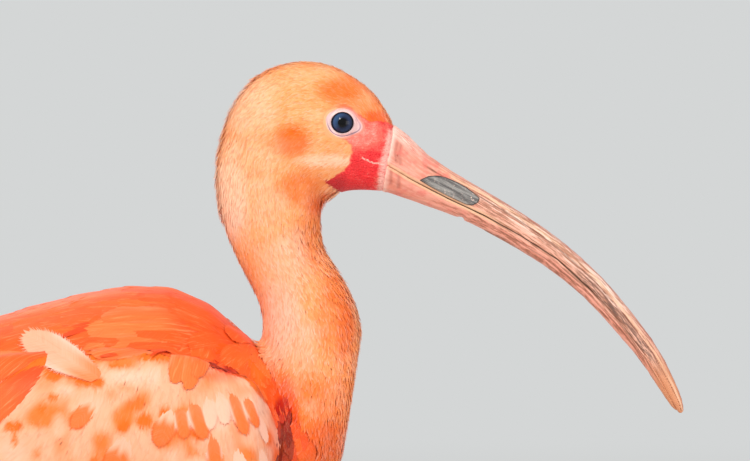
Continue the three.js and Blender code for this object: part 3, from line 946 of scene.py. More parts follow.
def feathered(name, shape, path, normals, ways, zone, length, width, surface, deep=1.0, rise=0.1, bend=0.0,
              curl=0.0, cup=0.0, jitter=0.0, seed=1, own_cells=False, paint_job=None, settle=0.75, soft=0.6,
              plain=True):
    """Feathers of one shape along paths, as one joined piece.

    deep is how far below the outline a root starts and rise how far above it the tip ends. bend is the
    sideways curve and curl the upward one, in shares of the length. soft turns the shading towards that of
    the body. A plain feather has the markings of its middle, others have those of every place they cover.
    """
    rng = np.random.default_rng(seed)
    count, steps = len(path), path.shape[1] - 1
    length, width, deep, rise, bend, curl, cup, settle = (
        np.broadcast_to(np.asarray(v, float), (count,))
        for v in (length, width, deep, rise, bend, curl, cup, settle)
    )
    t = np.clip(shape.rows[:, 0], 0, 1) * steps
    low = np.minimum(t.astype(int), steps - 1)
    part = (t - low)[None, :, None]

    def between(rows):
        return rows[:, low] * (1 - part) + rows[:, low + 1] * part

    middle, up, way = between(path), unit(between(normals)), unit(between(ways))
    side = unit(np.cross(up, way))
    along = np.broadcast_to(shape.rows[:, 0], (count, len(shape.rows)))
    place = np.broadcast_to(shape.rows[:, 1], along.shape)
    across = shape.rows[:, 1] * width[:, None] / 2
    shake = rng.normal(size=(3, count, len(shape.rows))) * shape.loose * jitter
    height = (rise + deep)[:, None] * along ** settle[:, None] - deep[:, None]
    height = height + curl[:, None] * length[:, None] * along**3 + shape.rows[:, 2] * width[:, None] / 2
    height = height - cup[:, None] * width[:, None] * place**2
    height = height + shake[2] * width[:, None] * 0.5
    shift = across * (1 + shake[0]) + bend[:, None] * length[:, None] * along**2
    base = middle + side * shift[..., None] + way * (shake[1] * length[:, None])[..., None]
    if surface:
        base, up = (rows.reshape(middle.shape) for rows in surface.at(base.reshape(-1, 3))[:2])
    p = (base + up * height[..., None]).reshape(-1, 3)
    obj, triangles = joined_feathers(name, shape, p, up.reshape(-1, 3), soft)
    each = len(shape.rows)
    tone = np.repeat(rng.random(count), each)
    if paint_job:
        marks = paint_job(along, place).reshape(-1, 3)
    elif plain:
        marks = np.repeat(markings(path[:, steps // 2], zone), each, 0)
    else:
        marks = markings(p, np.repeat(zone, each))
    spread = np.stack([along, place], -1).reshape(-1, 2)
    put_attributes(obj.data, marks=marks, feather=np.column_stack([spread, tone]))
    map_patches(obj.data, triangles, path[:, 0], spread, own_cells)
    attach(obj, "root")
    return obj


def joined_feathers(name, shape, p, up, soft):
    """One object of feathers, shaded partly in the direction of the body under them."""
    each = len(shape.rows)
    first = np.arange(0, len(p), each)
    triangles = (shape.triangles[None] + first[:, None, None]).reshape(-1, 3)
    obj = mesh_from(name, p, triangles)
    own = normals_of(p, triangles)
    obj.data.normals_split_custom_set_from_vertices(unit(own * (1 - soft) + up * soft))
    return obj, triangles


def map_patches(mesh, triangles, roots, spread, own_cells):
    """The bake map: every feather is a small patch at its root's place, or has a cell of its own."""
    if own_cells:
        corner, size = cells(len(roots))
        middle, patch = corner + size / 2, size * 0.92
    else:
        middle, patch = unwrapped(roots), PATCH
    uv = np.repeat(middle, len(spread) // len(roots), 0) + (spread * (1, 0.5) - (0.5, 0)) * patch
    layer = mesh.uv_layers.new(name="OFBake")
    layer.data.foreach_set("uv", uv[triangles.ravel()].astype(np.float32).ravel())


# Plumage finishes
def plumage_colour(finish, marks):
    warm, pale, red = finish.parts(marks)
    _, _, height = finish.parts(finish.place())
    head = height.between(270 * MM, 318 * MM)  # more yellow than the body where it is pale
    return finish.layered(
        finish.mixed(PEACH, HEAD_PEACH, head),
        (ORANGE, warm),
        (VERMILION, red.between(0.0, 0.65)),
        # From red 0.7 up the colour is painted shade: crimson in the slits between scapulars and the recess at
        # the shoulder, SHADED darkest at the neck's base
        (CRIMSON, red.between(0.7, 1.0)),
        (SHADED, red.between(1.0, 1.3)),
        (finish.mixed(CREAM, HEAD_CREAM, head), pale),
    )


def tuft_finish(name, root_dark, tip_pale, variety=0.3):
    """Short, loose feathers: deeper between the roots, paler at the fine ends, each a little its own tone."""
    finish = Finish(name, Roughness=0.8, Sheen_Weight=0.05, Sheen_Roughness=0.4, Specular_IOR_Level=0.12)
    along, _, tone = finish.parts(finish.attribute("feather", "Vector"))
    marks = finish.attribute("marks", "Vector")
    warm, _, _ = finish.parts(marks)
    light = (along * 0.6 + tone * 0.6).between(0.62, 1.1) * (1 - warm * 0.75)
    colour = finish.layered(
        plumage_colour(finish, marks),
        (VERMILION, (1 - along).between(0.5, 1.05) * root_dark),
        (CREAM, light * tip_pale),
        (ORANGE, (1 - tone).between(0.6, 1.0) * variety),
    )
    return finish.set(Base_Color=colour)


def vane_finish(name, root_dark, comb, roughness, tone_share=0.25, shaft_share=0.15, lines=0.3, inked=False):
    """Broad feathers: barbs comb outwards from the shaft, and each feather has its own tone."""
    finish = Finish(name, Roughness=roughness, Sheen_Weight=0.05, Sheen_Roughness=0.4, Specular_IOR_Level=0.2)
    along, across, tone = finish.parts(finish.attribute("feather", "Vector"))
    away = across.math("ABSOLUTE")
    barb = finish.vector((along - away * 0.22) * 90, tone * 41 + across.math("SIGN") * 7, away * 1.2)
    combed = finish.grain(barb, 1.0, 2.0, 0.6)
    drawn = finish.grain(finish.vector(along * 3, across * 9 + tone * 37, tone * 11), 1.0, 4.0, 0.65)
    shaft = away.between(0.05, 0.0) * (1 - along.between(0.6, 1.0))
    colour = finish.layered(
        plumage_colour(finish, finish.attribute("marks", "Vector")),
        (VERMILION, tone.between(0.35, 1.0) * tone_share),
        (CRIMSON, (1 - along).between(0.45, 1.0) * root_dark),
        (VERMILION, combed.between(0.5, 0.75) * comb * 0.5),
        (CREAM, combed.between(0.5, 0.25) * comb * 0.5),
        (VERMILION, drawn.between(0.5, 0.75) * lines),
        (PEACH, drawn.between(0.48, 0.28) * lines),
        (CRIMSON, shaft * shaft_share),
    )
    if inked:
        colour = finish.mixed(colour, INK, finish.attribute("ink"))
    return finish.set(Base_Color=colour, Normal=finish.bump(combed, 0.1, 0.25))


# FACE_DARK paints the shade under the jaw, and the dark between the face's pebbles
FACE_DARK = (180, 8, 20)
FACE_CRIMSON = (236, 12, 28)
FACE_RED = (252, 46, 48)
FACE_CORAL = (252, 112, 94)
FACE_PALE = (252, 196, 182)
LEG_PINK = (214, 112, 96)
LEG_DARK = (150, 70, 62)
PEBBLE_SIZE = 0.75  # of the face's fine grain


def face_colour(finish, streaks, clouds, pebbles):
    """Crimson, mottled with coral and pale, and palest along the crease and beside the bill; painted shade
    darkens its lower edge under the jaw.
    """
    warm = finish.attribute("coral") + (clouds - 0.5) * 0.9 + (streaks - 0.5) * 0.5
    edge = finish.attribute("bill_edge") + (clouds - 0.5) * 1.4 + (streaks - 0.5) * 0.8
    crease = finish.attribute("crease") + (streaks - 0.5) * 0.8
    return finish.layered(
        finish.mixed(FACE_CRIMSON, FACE_RED, (streaks * 0.7 + clouds * 0.5).between(0.42, 0.78)),
        (FACE_CORAL, warm.between(0.25, 1.0)),
        (FACE_PALE, warm.between(0.8, 1.5) * 0.8),
        (FACE_PALE, streaks.between(0.6, 0.72) * clouds.between(0.45, 0.6) * 0.55),
        # painted shade along the face's lower edge, from the deep mark
        (FACE_DARK, finish.attribute("deep") * (0.5 + clouds * 0.7)),
        (FACE_PALE, crease.between(0.35, 0.9) * 0.85),
        (FACE_DARK, pebbles.between(0.45, 0.8) * 0.2),
        (FACE_PALE, edge.between(0.25, 1.05) * 0.75),
    )


def skin_finish():
    """The skin in the plumage's markings, crimson and wrinkled on the face, horny on the legs."""
    finish = Finish("ibis_skin", Roughness=0.5)
    place = finish.place()
    grid = {"Vector": place, "Scale": 1 / (PEBBLE_SIZE * MM)}
    pebbles = finish.node("TexVoronoi", {"feature": "F1"}, grid, "Distance")
    lie = {"Vector": place, "Rotation": (0, math.radians(-24), 0), "Scale": (0.3, 1, 1.5)}
    streaks = finish.noise(finish.node("Mapping", {}, lie), 0.55, 4, 0.7)
    clouds = finish.noise(place, 2.6, 3, 0.6)
    leg = finish.mixed(LEG_PINK, LEG_DARK, finish.noise(place, 4, 4).between(0.35, 0.75))
    _, _, height = finish.parts(place)
    is_leg = (height / MM).between(150, 140)
    colour = finish.layered(
        plumage_colour(finish, finish.attribute("marks", "Vector")),
        (VERMILION, 0.15),
        (finish.mixed(face_colour(finish, streaks, clouds, pebbles), leg, is_leg), finish.attribute("bare")),
    )
    wrinkles = (1 - pebbles.between(0.0, 0.7)) * 0.9 + streaks * 0.9
    rings = finish.attribute("scute").math("SINE") * is_leg * 0.8
    normal = finish.bump(wrinkles * finish.attribute("face") + rings, 0.3, 0.9)
    return finish.set(Base_Color=colour, Roughness=0.42 + streaks * 0.25, Normal=normal)


# Bill
BILL_LINE = [  # x, z of the middle and half the depth
    (90, 322.6, 11.3), (96.4, 319.3, 10.8), (105.7, 314, 8.3), (115, 309.5, 7.2), (126, 304.2, 6.2),
    (139.7, 296.5, 5.7), (153.7, 287.4, 5.2), (167.5, 275.9, 4.6), (178, 264.3, 4.2), (188.5, 250.9, 3.6),
    (194.9, 239.8, 2.8), (198, 234, 1.9), (199.5, 231.2, 0.6),
]
MOUTH_LINE = [
    (88, 322.5), (95.8, 318), (105, 312.5), (118, 305.8), (130, 300.2), (143, 293), (156, 284.6),
    (168, 273.6), (178, 262.6), (187.5, 250), (194, 239), (202, 225),
]
BILL_GRAIN = 0.42
BILL_GROWTH = 0.24  # closes the mouth
CULMEN_RISE = 1.1  # how far the root of the bill's ridge stands up to meet the forehead
HORN_PLATE = [  # the grey raised plate ahead of the face, seen from the side in the picture
    (420.5, 180.3), (427.6, 177.2), (435, 176.5), (444, 177.4), (450.5, 180), (458, 183.5), (466, 188),
    (472.5, 192.5), (478.5, 198.4), (477.3, 202.2), (472, 204.8), (465.8, 204), (457, 200.2), (448, 195.9),
    (438, 190.8), (431, 187), (426, 184),
]
BASE_DENTS = [  # short upright grooves behind the bill's base
    [(397.5, 145), (395.5, 153), (396.5, 162)], [(401.5, 147), (399.5, 155), (400.5, 164)],
    [(391, 172), (390.5, 184)], [(399, 176), (398.5, 188)],
]
BILL_BASE_EDGE = [(381, 191), (382, 178), (384, 163), (388, 148), (392, 133)]


def bill_places(p):
    """Along the bill, height over its middle in half depths, height over the mouth line, and half depth."""
    line = np.array(BILL_LINE)
    height, along = distance_to(p, line[:, :2])
    run = np.concatenate([[0], np.cumsum(np.linalg.norm(np.diff(line[:, :2], axis=0), axis=1))])
    half = np.interp(along, run, line[:, 2])
    mouth, _ = distance_to(p, MOUTH_LINE)
    return along, height / half, mouth, half


def ridge(x, middle, width):
    """1 on a line, falling softly to 0 at the width from it."""
    return 1 - fade(np.abs(x - middle), 0, width)


def shape_bill(obj):
    """Carves the grooves, plate, base ridge and worn edges into one mandible, and notes each place on it."""
    mesh = obj.data
    p = points_of(mesh)
    normals = normals_of(p, triangles_of(mesh))
    along, height, mouth, half = bill_places(p)
    side = fade(np.abs(normals[:, 1]), 0.2, 0.6)
    upper, lower = (mouth > 0) * side, (mouth < 0) * side
    plate = fade(inside_by(p, sides_of(HORN_PLATE)), -0.35, 0.25) * upper
    groove_height = 0.58 - 0.22 * fade(along, 40, 120)
    groove = ridge(height, groove_height, 0.085) * fade(along, 16, 24) * upper
    low_groove = ridge(height, -0.62, 0.09) * fade(along, 30, 60) * lower
    crest = ridge(height, groove_height + 0.2, 0.16) * fade(along, 22, 34) * upper
    behind = np.abs(distance_to(p, sides_of(BILL_BASE_EDGE))[0])
    rim = ridge(behind, 0.6, 2.2)
    dents = sum(ridge(distance_to(p, sides_of(dent))[0], 0, 1.1) for dent in BASE_DENTS) * side
    wear = blotches(p * (0.35, 1, 0.6), 1.1, 61) - 0.5
    chips = (mouth < 0) * fade(-height, 0.72, 0.95) * ridge(along, 39.5, 2.2) * 0.7
    move = 0.3 * plate - 0.38 * groove - 0.2 * low_groove + 0.2 * rim - 0.3 * dents
    move = move + 0.1 * crest + 0.14 * wear - chips
    p = p + normals * (move * fade(np.abs(mouth), 0.05, 0.5))[:, None]
    p[:, 2] += CULMEN_RISE * (1 - fade(along, 8, 34)) * fade(height, 0.2, 1.0)
    set_points(mesh, p)
    put_attributes(
        mesh,
        bill_place=np.column_stack([along / 100, height, mouth]),
        horn_plate=plate, rim=rim, crest=crest,
        blush=(1 - fade(behind, 0.1, 0.9)) * fade(height, -3, 3),
        groove=np.clip(groove + 0.7 * low_groove, 0, 1), dent=np.clip(dents, 0, 1),
        grain=np.column_stack([along / 15, height * np.minimum(half, 5) + p[:, 1] * 0.3, p[:, 1] * 0.3]),
    )


BILL_CORAL = (232, 146, 124)
BILL_TAN = (238, 172, 146)
BILL_TIP = (216, 144, 104)
BILL_PALE = (250, 220, 204)
BILL_PINK = (222, 128, 112)
BILL_BROWN = (126, 74, 50)
BILL_GROOVE = (112, 62, 40)
BILL_SAND = (236, 190, 150)
BILL_DENT = (190, 112, 96)
BILL_UNDER = (240, 146, 124)
# BILL_LIT is a painted highlight along the bill near its tip
BILL_LIT = (246, 196, 164)
BILL_ROSE = (226, 112, 100)
BILL_DARK = (92, 70, 62)
BILL_RIM = (250, 214, 200)
SLATE_DARK = (82, 78, 78)
SLATE_PALE = (158, 154, 150)
SLATE_EDGE = (56, 48, 46)
# MOUTH_SLIT_SHADE is painted shade in the closed slit between the mandibles
MOUTH_SLIT_SHADE = (62, 44, 26)


def horn_colour(finish, streak, fine, cloud):
    """Worn horn: coral at the base, tan towards the tip, scored along its length, dark in its grooves. Painted
    highlight adds to the pale streaks on the upper band and lights flecks near the base and a line near the
    tip.
    """
    along, height, mouth = finish.parts(finish.attribute("bill_place", "Vector"))
    before_tip = 1 - along.between(1.2, 1.38)
    long_grain = {"Vector": finish.attribute("grain", "Vector"), "Scale": (0.5, 3.2, 3.2)}
    scored = finish.grain(finish.node("Mapping", {}, long_grain), 1.3, 2.5, 0.6)
    scored = (scored - 0.5).math("ABSOLUTE").between(0.045, 0.0)
    # worn is partly painted highlight: the pale streaks of wear are kept to the upper half, where light falls
    worn = height.between(0.05, 0.5) * along.between(0.3, 0.55) * (1 - along.between(0.95, 1.2))
    under = mouth.between(-0.2, -1.5) * before_tip
    lines = fine.between(0.6, 0.5) * streak.between(0.56, 0.42) + scored * streak.between(0.62, 0.4) * 0.9
    lines = lines.between(0, 1) * before_tip * (along.between(0.15, 0.45) * 0.62 + 0.1)
    middle = (height * height).between(0.22, 0.0) * along.between(0.78, 0.9) * (1 - along.between(1.2, 1.34))
    rosy = finish.noise(finish.place(), 3.2, 3).between(0.45, 0.7) * (1 - along.between(0.25, 0.5))
    # painted highlight in pale flecks high on the sides near the base
    base_highlight_flecks = height.between(0.6, 0.8) * (1 - along.between(0.1, 0.24)) * fine.between(0.42, 0.56)
    # painted highlight along the upper side near the tip
    edge = (height - 0.62).math("ABSOLUTE").between(0.2, 0.05) * along.between(1.25, 1.4)
    return finish.layered(
        BILL_CORAL,
        (BILL_TAN, (along + cloud * 0.3).between(0.22, 0.62)),
        (BILL_TIP, (along + cloud * 0.1).between(1.22, 1.4)),
        (BILL_UNDER, under * (streak * 0.8 + 0.2)),
        (BILL_PALE, streak.between(0.42, 0.6) * (worn * 0.8 + 0.2 * before_tip)),
        (BILL_PINK, fine.between(0.5, 0.68) * before_tip * 0.5),
        (BILL_BROWN, lines),
        (BILL_SAND, finish.attribute("crest") * streak.between(0.35, 0.6) * 0.8),
        (BILL_DARK, middle * fine.between(0.44, 0.56) * 0.9),
        (BILL_GROOVE, finish.attribute("groove").between(0.2, 0.9) * 0.75),
        (BILL_DENT, finish.attribute("dent") * (cloud * 0.8 + 0.3)),
        (BILL_ROSE, rosy * 0.6),
        (BILL_RIM, finish.attribute("rim") * 0.8),
        (FACE_CORAL, finish.attribute("blush") * 0.3),
        (BILL_RIM, base_highlight_flecks * 0.8),
        (BILL_LIT, edge * 0.8),
        (BILL_DENT, height.between(0.86, 1.05) * along.between(0.25, 0.45) * 0.7),
    )


def bill_finish():
    """The horn with its slate plate, sandy along the mouth, with painted shade in the slit between the
    mandibles.
    """
    finish = Finish("bill_horn", Roughness=0.5, Coat_Weight=0.0, Specular_IOR_Level=0.4)
    along, _, mouth = finish.parts(finish.attribute("bill_place", "Vector"))
    grain = finish.attribute("grain", "Vector")
    streak, fine = finish.grain(grain, 1.6, 5.0, 0.62), finish.grain(grain, 4.2, 4.0, 0.7)
    plate = finish.attribute("horn_plate")
    flecks = finish.noise(finish.place(), 0.8, 3).between(0.6, 0.68) * (along - 0.3).between(-0.12, 0.12)
    slate = finish.mixed(SLATE_DARK, SLATE_PALE, (streak + fine * 0.6).between(0.58, 0.98))
    by_mouth = (mouth * mouth).between(1.6, 0.3) * along.between(0.02, 0.12) * (1 - along.between(0.4, 0.6))
    # painted shade along the slit between the mandibles
    slit_shade = (mouth * mouth).between(0.08, 0.01) * along.between(0.05, 0.3) * (1 - along.between(0.85, 1.05))
    colour = finish.layered(
        horn_colour(finish, streak, fine, finish.noise(finish.place(), 7, 3)),
        (SLATE_EDGE, plate.between(0.02, 0.3)),
        (finish.mixed(slate, BILL_RIM, flecks * 0.8), (plate + streak * 0.3).between(0.7, 1.1)),
        (BILL_SAND, by_mouth * (1 - plate) * 0.7),
        (MOUTH_SLIT_SHADE, slit_shade * 0.85),
    )
    before_tip = 1 - along.between(1.2, 1.38)
    normal = finish.bump((streak * 0.7 + fine * 0.5) * (before_tip * 0.85 + 0.15), 0.25, 0.5)
    return finish.set(Base_Color=colour, Roughness=0.42 + streak * 0.25, Normal=normal)


def make_bill():
    finish = bill_finish()
    for node in ("bill_upper", "bill_lower"):
        obj = fused(node + "_horn", [node], BILL_GROWTH, BILL_GRAIN)
        softened(obj, 9)
        shape_bill(obj)
        obj.data.materials.append(finish)
        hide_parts(node)
        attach(obj, "root")


# Eyes and lids
PUPIL = 1.55
CORNEA_RISE = 0.35
LID_RINGS = [  # distance from the eye's middle, height over the lie of the face
    (3.68, -0.5), (3.82, 0.05), (3.95, 0.26), (4.15, 0.34), (4.4, 0.28), (4.65, 0.1), (4.82, -0.02),
    (4.98, 0.08), (5.25, 0.2), (5.6, 0.16), (5.95, 0.04), (6.3, -0.35),
]
LID_STEPS = 96
CORNER_WAY = math.radians(-16)  # towards the bill, seen from the side
CORNER_REACH = 0.34
LID_THICKNESS = 0.35
PUPIL_BLACK = (3, 3, 5)
IRIS_DARK = (16, 18, 36)
IRIS_BLUE = (40, 52, 84)
# IRIS_SKY_REFLECTION is a painted reflection of the sky, on the iris's upper back
IRIS_SKY_REFLECTION = (54, 92, 140)
IRIS_EDGE = (12, 13, 22)
LID_EDGE = (96, 78, 92)
LID_PALE = (246, 206, 204)
LID_FOLD = (150, 112, 132)
LID_FLUSH = (240, 168, 160)
LID_BEHIND = (250, 172, 116)
LID_AHEAD = (250, 132, 112)


def eye_finish():
    gloss = {"Roughness": 0.12, "Coat_Weight": 0.15, "Coat_Roughness": 0.02, "Specular_IOR_Level": 0.15}
    finish = Finish("eye_glass", **gloss)
    x, _, z = finish.parts(finish.place())
    x, z = (x - EYE[0] * MM) / MM, (z - EYE[2] * MM) / MM
    radius = (x * x + z * z) ** 0.5
    fibres = finish.noise(finish.place(), 0.5, 3)
    iris = finish.layered(
        IRIS_DARK,
        (IRIS_BLUE, radius.between(1.5, 2.7) * (0.45 + fibres * 0.8)),
        # painted reflection of the sky, lighter towards the upper back of the iris
        (IRIS_SKY_REFLECTION, (z * 0.5 - x).between(-0.3, 3.4) * 0.6),
        (IRIS_EDGE, radius.between(2.9, 3.6)),
    )
    colour = finish.mixed(PUPIL_BLACK, iris, radius.between(PUPIL - 0.12, PUPIL + 0.15))
    return finish.set(Base_Color=colour)


def make_eye(side, finish):
    """An eyeball with a slightly bulging cornea, looking out to one side."""
    middle = EYE * (1, SIDES[side], 1)
    bpy.ops.mesh.primitive_uv_sphere_add(segments=64, ring_count=40, radius=EYE_RADIUS * MM)
    obj = bpy.context.object
    obj.name = obj.data.name = "eyeball_" + side
    only(obj)
    obj.rotation_euler = (math.radians(90), 0, 0)
    bpy.ops.object.transform_apply(rotation=True)
    p = points_of(obj.data)
    off_axis = np.linalg.norm(p[:, [0, 2]], axis=1)
    facing = np.sign(p[:, 1]) == SIDES[side]
    p = p + unit(p) * (CORNEA_RISE * (1 - fade(off_axis, 1.2, 3.4)) * facing)[:, None]
    set_points(obj.data, p + middle)
    bpy.ops.object.shade_smooth()
    obj.data.materials.append(finish)
    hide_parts("eye_" + side)
    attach(obj, "root")


def lid_finish():
    finish = Finish("eyelid_skin", Roughness=0.45)
    reach = finish.attribute("reach")
    x, _, z = finish.parts(finish.place())
    grain = finish.noise(finish.place(), 0.5, 3)
    low = (z / MM).between(EYE[2] + 3, EYE[2] - 3)
    fold = (1 - (reach - 4.8) * (reach - 4.8) * 14).between(0, 1)
    round_it = finish.mixed(LID_BEHIND, LID_AHEAD, (x / MM).between(EYE[0] - 3, EYE[0] + 3))
    colour = finish.layered(
        LID_EDGE,
        (LID_PALE, reach.between(3.74, 4.05)),
        (LID_FOLD, fold * (low * 0.65 + 0.2)),
        (round_it, reach.between(4.85, 5.5)),
        (LID_FLUSH, grain.between(0.4, 0.8) * 0.35),
    )
    return finish.set(Base_Color=colour, Normal=finish.bump(grain, 0.1, 0.6))


def face_beyond(tree, x, z, way):
    """How far out the face lies behind each place beside the eye."""
    found = np.empty(len(x))
    for i, (px, pz) in enumerate(zip(x.tolist(), z.tolist())):
        hit = tree.ray_cast((px, way * 40, pz), (0, -way, 0))[0]
        found[i] = hit[1] if hit else way * EYE[1]
    return found


def lid_rings(skin, way):
    """The lid's rings of points, from the eyeball out over the face."""
    x0, y0, z0 = EYE * (1, way, 1)
    tree = BVHTree.FromPolygons(points_of(skin.data).tolist(), triangles_of(skin.data).tolist())
    turn = np.linspace(0, 2 * math.pi, LID_STEPS, endpoint=False)
    cos, sin = (np.array([wave(a) for a in turn]) for wave in (math.cos, math.sin))
    from_corner = np.abs((turn - CORNER_WAY + math.pi) % (2 * math.pi) - math.pi)
    at_corner = np.exp(-((from_corner / 0.42) ** 2))
    at_back = np.exp(-(((math.pi - from_corner) / 0.5) ** 2))
    rings = []
    for k, (radius, height) in enumerate(LID_RINGS):
        outer = fade(radius, 3.7, 4.8)
        pull = CORNER_REACH * outer * at_corner + 0.1 * outer * at_back
        flat = 1.02 - 0.05 * np.sin(turn) ** 2
        wobble = 1 + 0.012 * np.sin(turn * 7 + k) * outer
        r = radius * (1 + pull) * flat * wobble
        ball = np.sqrt(np.maximum((EYE_RADIUS + 0.15) ** 2 - r**2, 0.0))
        far = np.maximum(r, 5.6)
        face = face_beyond(tree, x0 + far * cos, z0 + far * sin, way)
        share = fade(r, 3.6, 5.3)
        out = way * ((y0 + way * ball) * (1 - share) + face * share)
        clear = np.where(r < EYE_RADIUS, way * y0 + ball + 0.1, -np.inf)
        y = way * (np.maximum(out, clear) + height)
        rings.append(np.column_stack([x0 + r * np.cos(turn), y, z0 + r * np.sin(turn)]))
    return np.concatenate(rings)


def make_lids(side, skin, finish):
    """The pale lid and its folds."""
    way = SIDES[side]
    p = lid_rings(skin, way)
    faces = []
    for k in range(len(LID_RINGS) - 1):
        for i in range(LID_STEPS):
            j = (i + 1) % LID_STEPS
            face = (k * LID_STEPS + i, k * LID_STEPS + j, (k + 1) * LID_STEPS + j, (k + 1) * LID_STEPS + i)
            faces.append(face if way > 0 else face[::-1])
    obj = mesh_from("eyelid_" + side, p, np.array(faces))
    put_attributes(obj.data, reach=np.repeat([radius for radius, _ in LID_RINGS], LID_STEPS))
    shaped(obj, "SOLIDIFY", thickness=LID_THICKNESS * MM, offset=-1)
    shaped(obj, "SUBSURF", levels=1, render_levels=1)
    obj.data.materials.append(finish)
    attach(obj, "root")


# Claws
CLAW_GRAIN = 0.28
CLAW_DARK = (58, 40, 38)
CLAW_LIGHT = (104, 72, 64)


def claw_finish():
    finish = Finish("claw_horn", Roughness=0.35)
    grain = finish.noise(finish.place(), 1.2, 3)
    colour = finish.mixed(CLAW_DARK, CLAW_LIGHT, grain)
    return finish.set(Base_Color=colour, Normal=finish.bump(grain, 0.1, 0.5))


def make_claws():
    finish = claw_finish()
    for node in nodes_named("claw"):
        obj = fused(node.replace("claw", "toenail"), [node], 0, CLAW_GRAIN)
        softened(obj, 4)
        obj.data.materials.append(finish)
        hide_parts(node)
        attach(obj, "root")


# The plumage, from the head to the tail
def kind(zone, *names):
    return np.isin(zone, [ZONES.index(name) for name in names])


def on_side(support, places, side):
    """Where level lines through (x, z) places meet the bird's right or left side."""
    way = SIDES[side]
    found = []
    for x, z in places:
        hit = support.tree.ray_cast((x, way * 200, z), (0, -way, 0))[0]
        if hit is None:
            hit = support.tree.find_nearest((x, way * 25, z))[0]
        found.append(tuple(hit))
    return np.array(found)


COATS = {  # spacing of the roots, shortest and longest feather, narrowest and widest, seed
    "head_down": (0.42, (2.0, 3.1), (0.42, 0.68), 11),
    "nape_locks": (1.5, (3, 5), (0.9, 1.6), 15),
    "neck_down": (0.6, (2.9, 4.4), (0.6, 0.95), 21),
    "mantle": (4.3, (26, 34), (0.44, 0.52), 31),  # broad feathers have widths in shares of their lengths
    "breast": (2.9, (9, 13), (0.42, 0.55), 41),
    "coverts": (3.8, (13, 18), (0.5, 0.6), 51),
    "covert_down": (0.86, (4, 7.5), (0.7, 1.3), 55),
}
FINE_LOCK = ((0, 0.7), (0.5, 1))  # a lock's places along it and its widths there
SPIKY_LOCK = ((0, 0.6), (0.4, 1), (0.75, 0.6))
BEARD = [((334, 196), (7, 5)), ((345, 190), (3, 2))]  # loose tufts at the chin: place in the picture, radii
BREAST_FROM = 50  # ahead of this the loose feathers of the breast cover the trunk up to the neck
MANTLE_END = -116
COVERTS_END = -85
NECK_FOOT = 195
LOCKS_FROM = 268


class Coat:
    """The roots of one coat, and its own chance for what differs from feather to feather."""

    def __init__(self, name, support, wanted):
        spacing, self.lengths, self.widths, self.seed = COATS[name]
        self.rng = np.random.default_rng(self.seed + 1)
        self.roots = support.scattered(lambda *place: wanted(self.rng, *place), spacing, self.seed)

    def even(self, low, high):
        return self.rng.uniform(low, high, len(self.roots))

    def about(self, middle, spread):
        return self.rng.normal(middle, spread, len(self.roots))

    def rare(self, power):
        """Shares from 0 to 1, the higher the power the fewer near 1."""
        return self.rng.random(len(self.roots)) ** power


def make_head_down(support):
    def wanted(rng, p, zone, normal):
        over_lore = rng.exponential(0.5, len(p)) * (p[:, 2] > 325)
        by_eye = np.linalg.norm(p[:, [0, 2]] - EYE[[0, 2]], axis=1) < LID_RINGS[-1][0] + 0.5
        feathers = (inside_by(p, BARE_FACE) < over_lore - 0.1) & ~by_eye
        return (p[:, 2] > HEAD_FROM) & kind(zone, "head", "neck") & feathers

    coat = Coat("head_down", support, wanted)
    roots, off_middle = coat.roots, np.abs(coat.roots[:, 1])
    beard = np.maximum(*(blob(roots, side_of(*place), radii) for place, radii in BEARD))
    back = fade(-roots[:, 0], -66, -44)
    length = coat.even(*coat.lengths) * (1 + 0.7 * beard + 0.5 * back)
    hanging = (0.1 + 1.7 * (1 - fade(off_middle, 3, 7))) * beard
    rise = coat.about(0.02, 0.06) + hanging * coat.rare(1.2) + 0.4 * back * coat.rare(5)
    rise = rise + (0.5 + 0.9 * back) * (1 - fade(off_middle, 2, 6)) * coat.rare(2.5)
    obj = lay(
        "head_down", support, roots, blade(FINE_LOCK, 0.06), length, coat.even(*coat.widths),
        turn=coat.about(0, 0.16), bend=coat.about(0, 0.08), curl=0.04 * beard, deep=0.12, rise=rise,
        steps=2, seed=13, soft=0.94, settle=0.4, wrap=False,
    )
    obj.data.materials.append(tuft_finish("head_down", 0.12, 0.4))


def make_locks(support):
    """Small spiky locks that stand off along the outline of the crown, the nape and the back of the neck."""
    def wanted(rng, p, zone, normal):
        outline = (np.abs(p[:, 1]) < 4) & (normal[:, 0] < 0.3) & (p[:, 0] < 80)
        return outline & kind(zone, "head", "neck") & (p[:, 2] > LOCKS_FROM)

    coat = Coat("nape_locks", support, wanted)
    crest = fade(coat.roots[:, 2], 285, 330) * fade(-coat.roots[:, 0], -76, -50)
    obj = lay(
        "nape_locks", support, coat.roots, blade(SPIKY_LOCK, 0.08), coat.even(*coat.lengths),
        coat.even(*coat.widths), turn=coat.about(0, 0.2), bend=coat.about(0, 0.06), deep=0.1,
        rise=coat.even(0, 0.6) + (0.3 + 2.0 * crest) * coat.rare(3.5), curl=0.02, steps=3, seed=17,
        soft=0.95, settle=1.2, wrap=False,
    )
    obj.data.materials.append(tuft_finish("nape_locks", 0.1, 0.3))


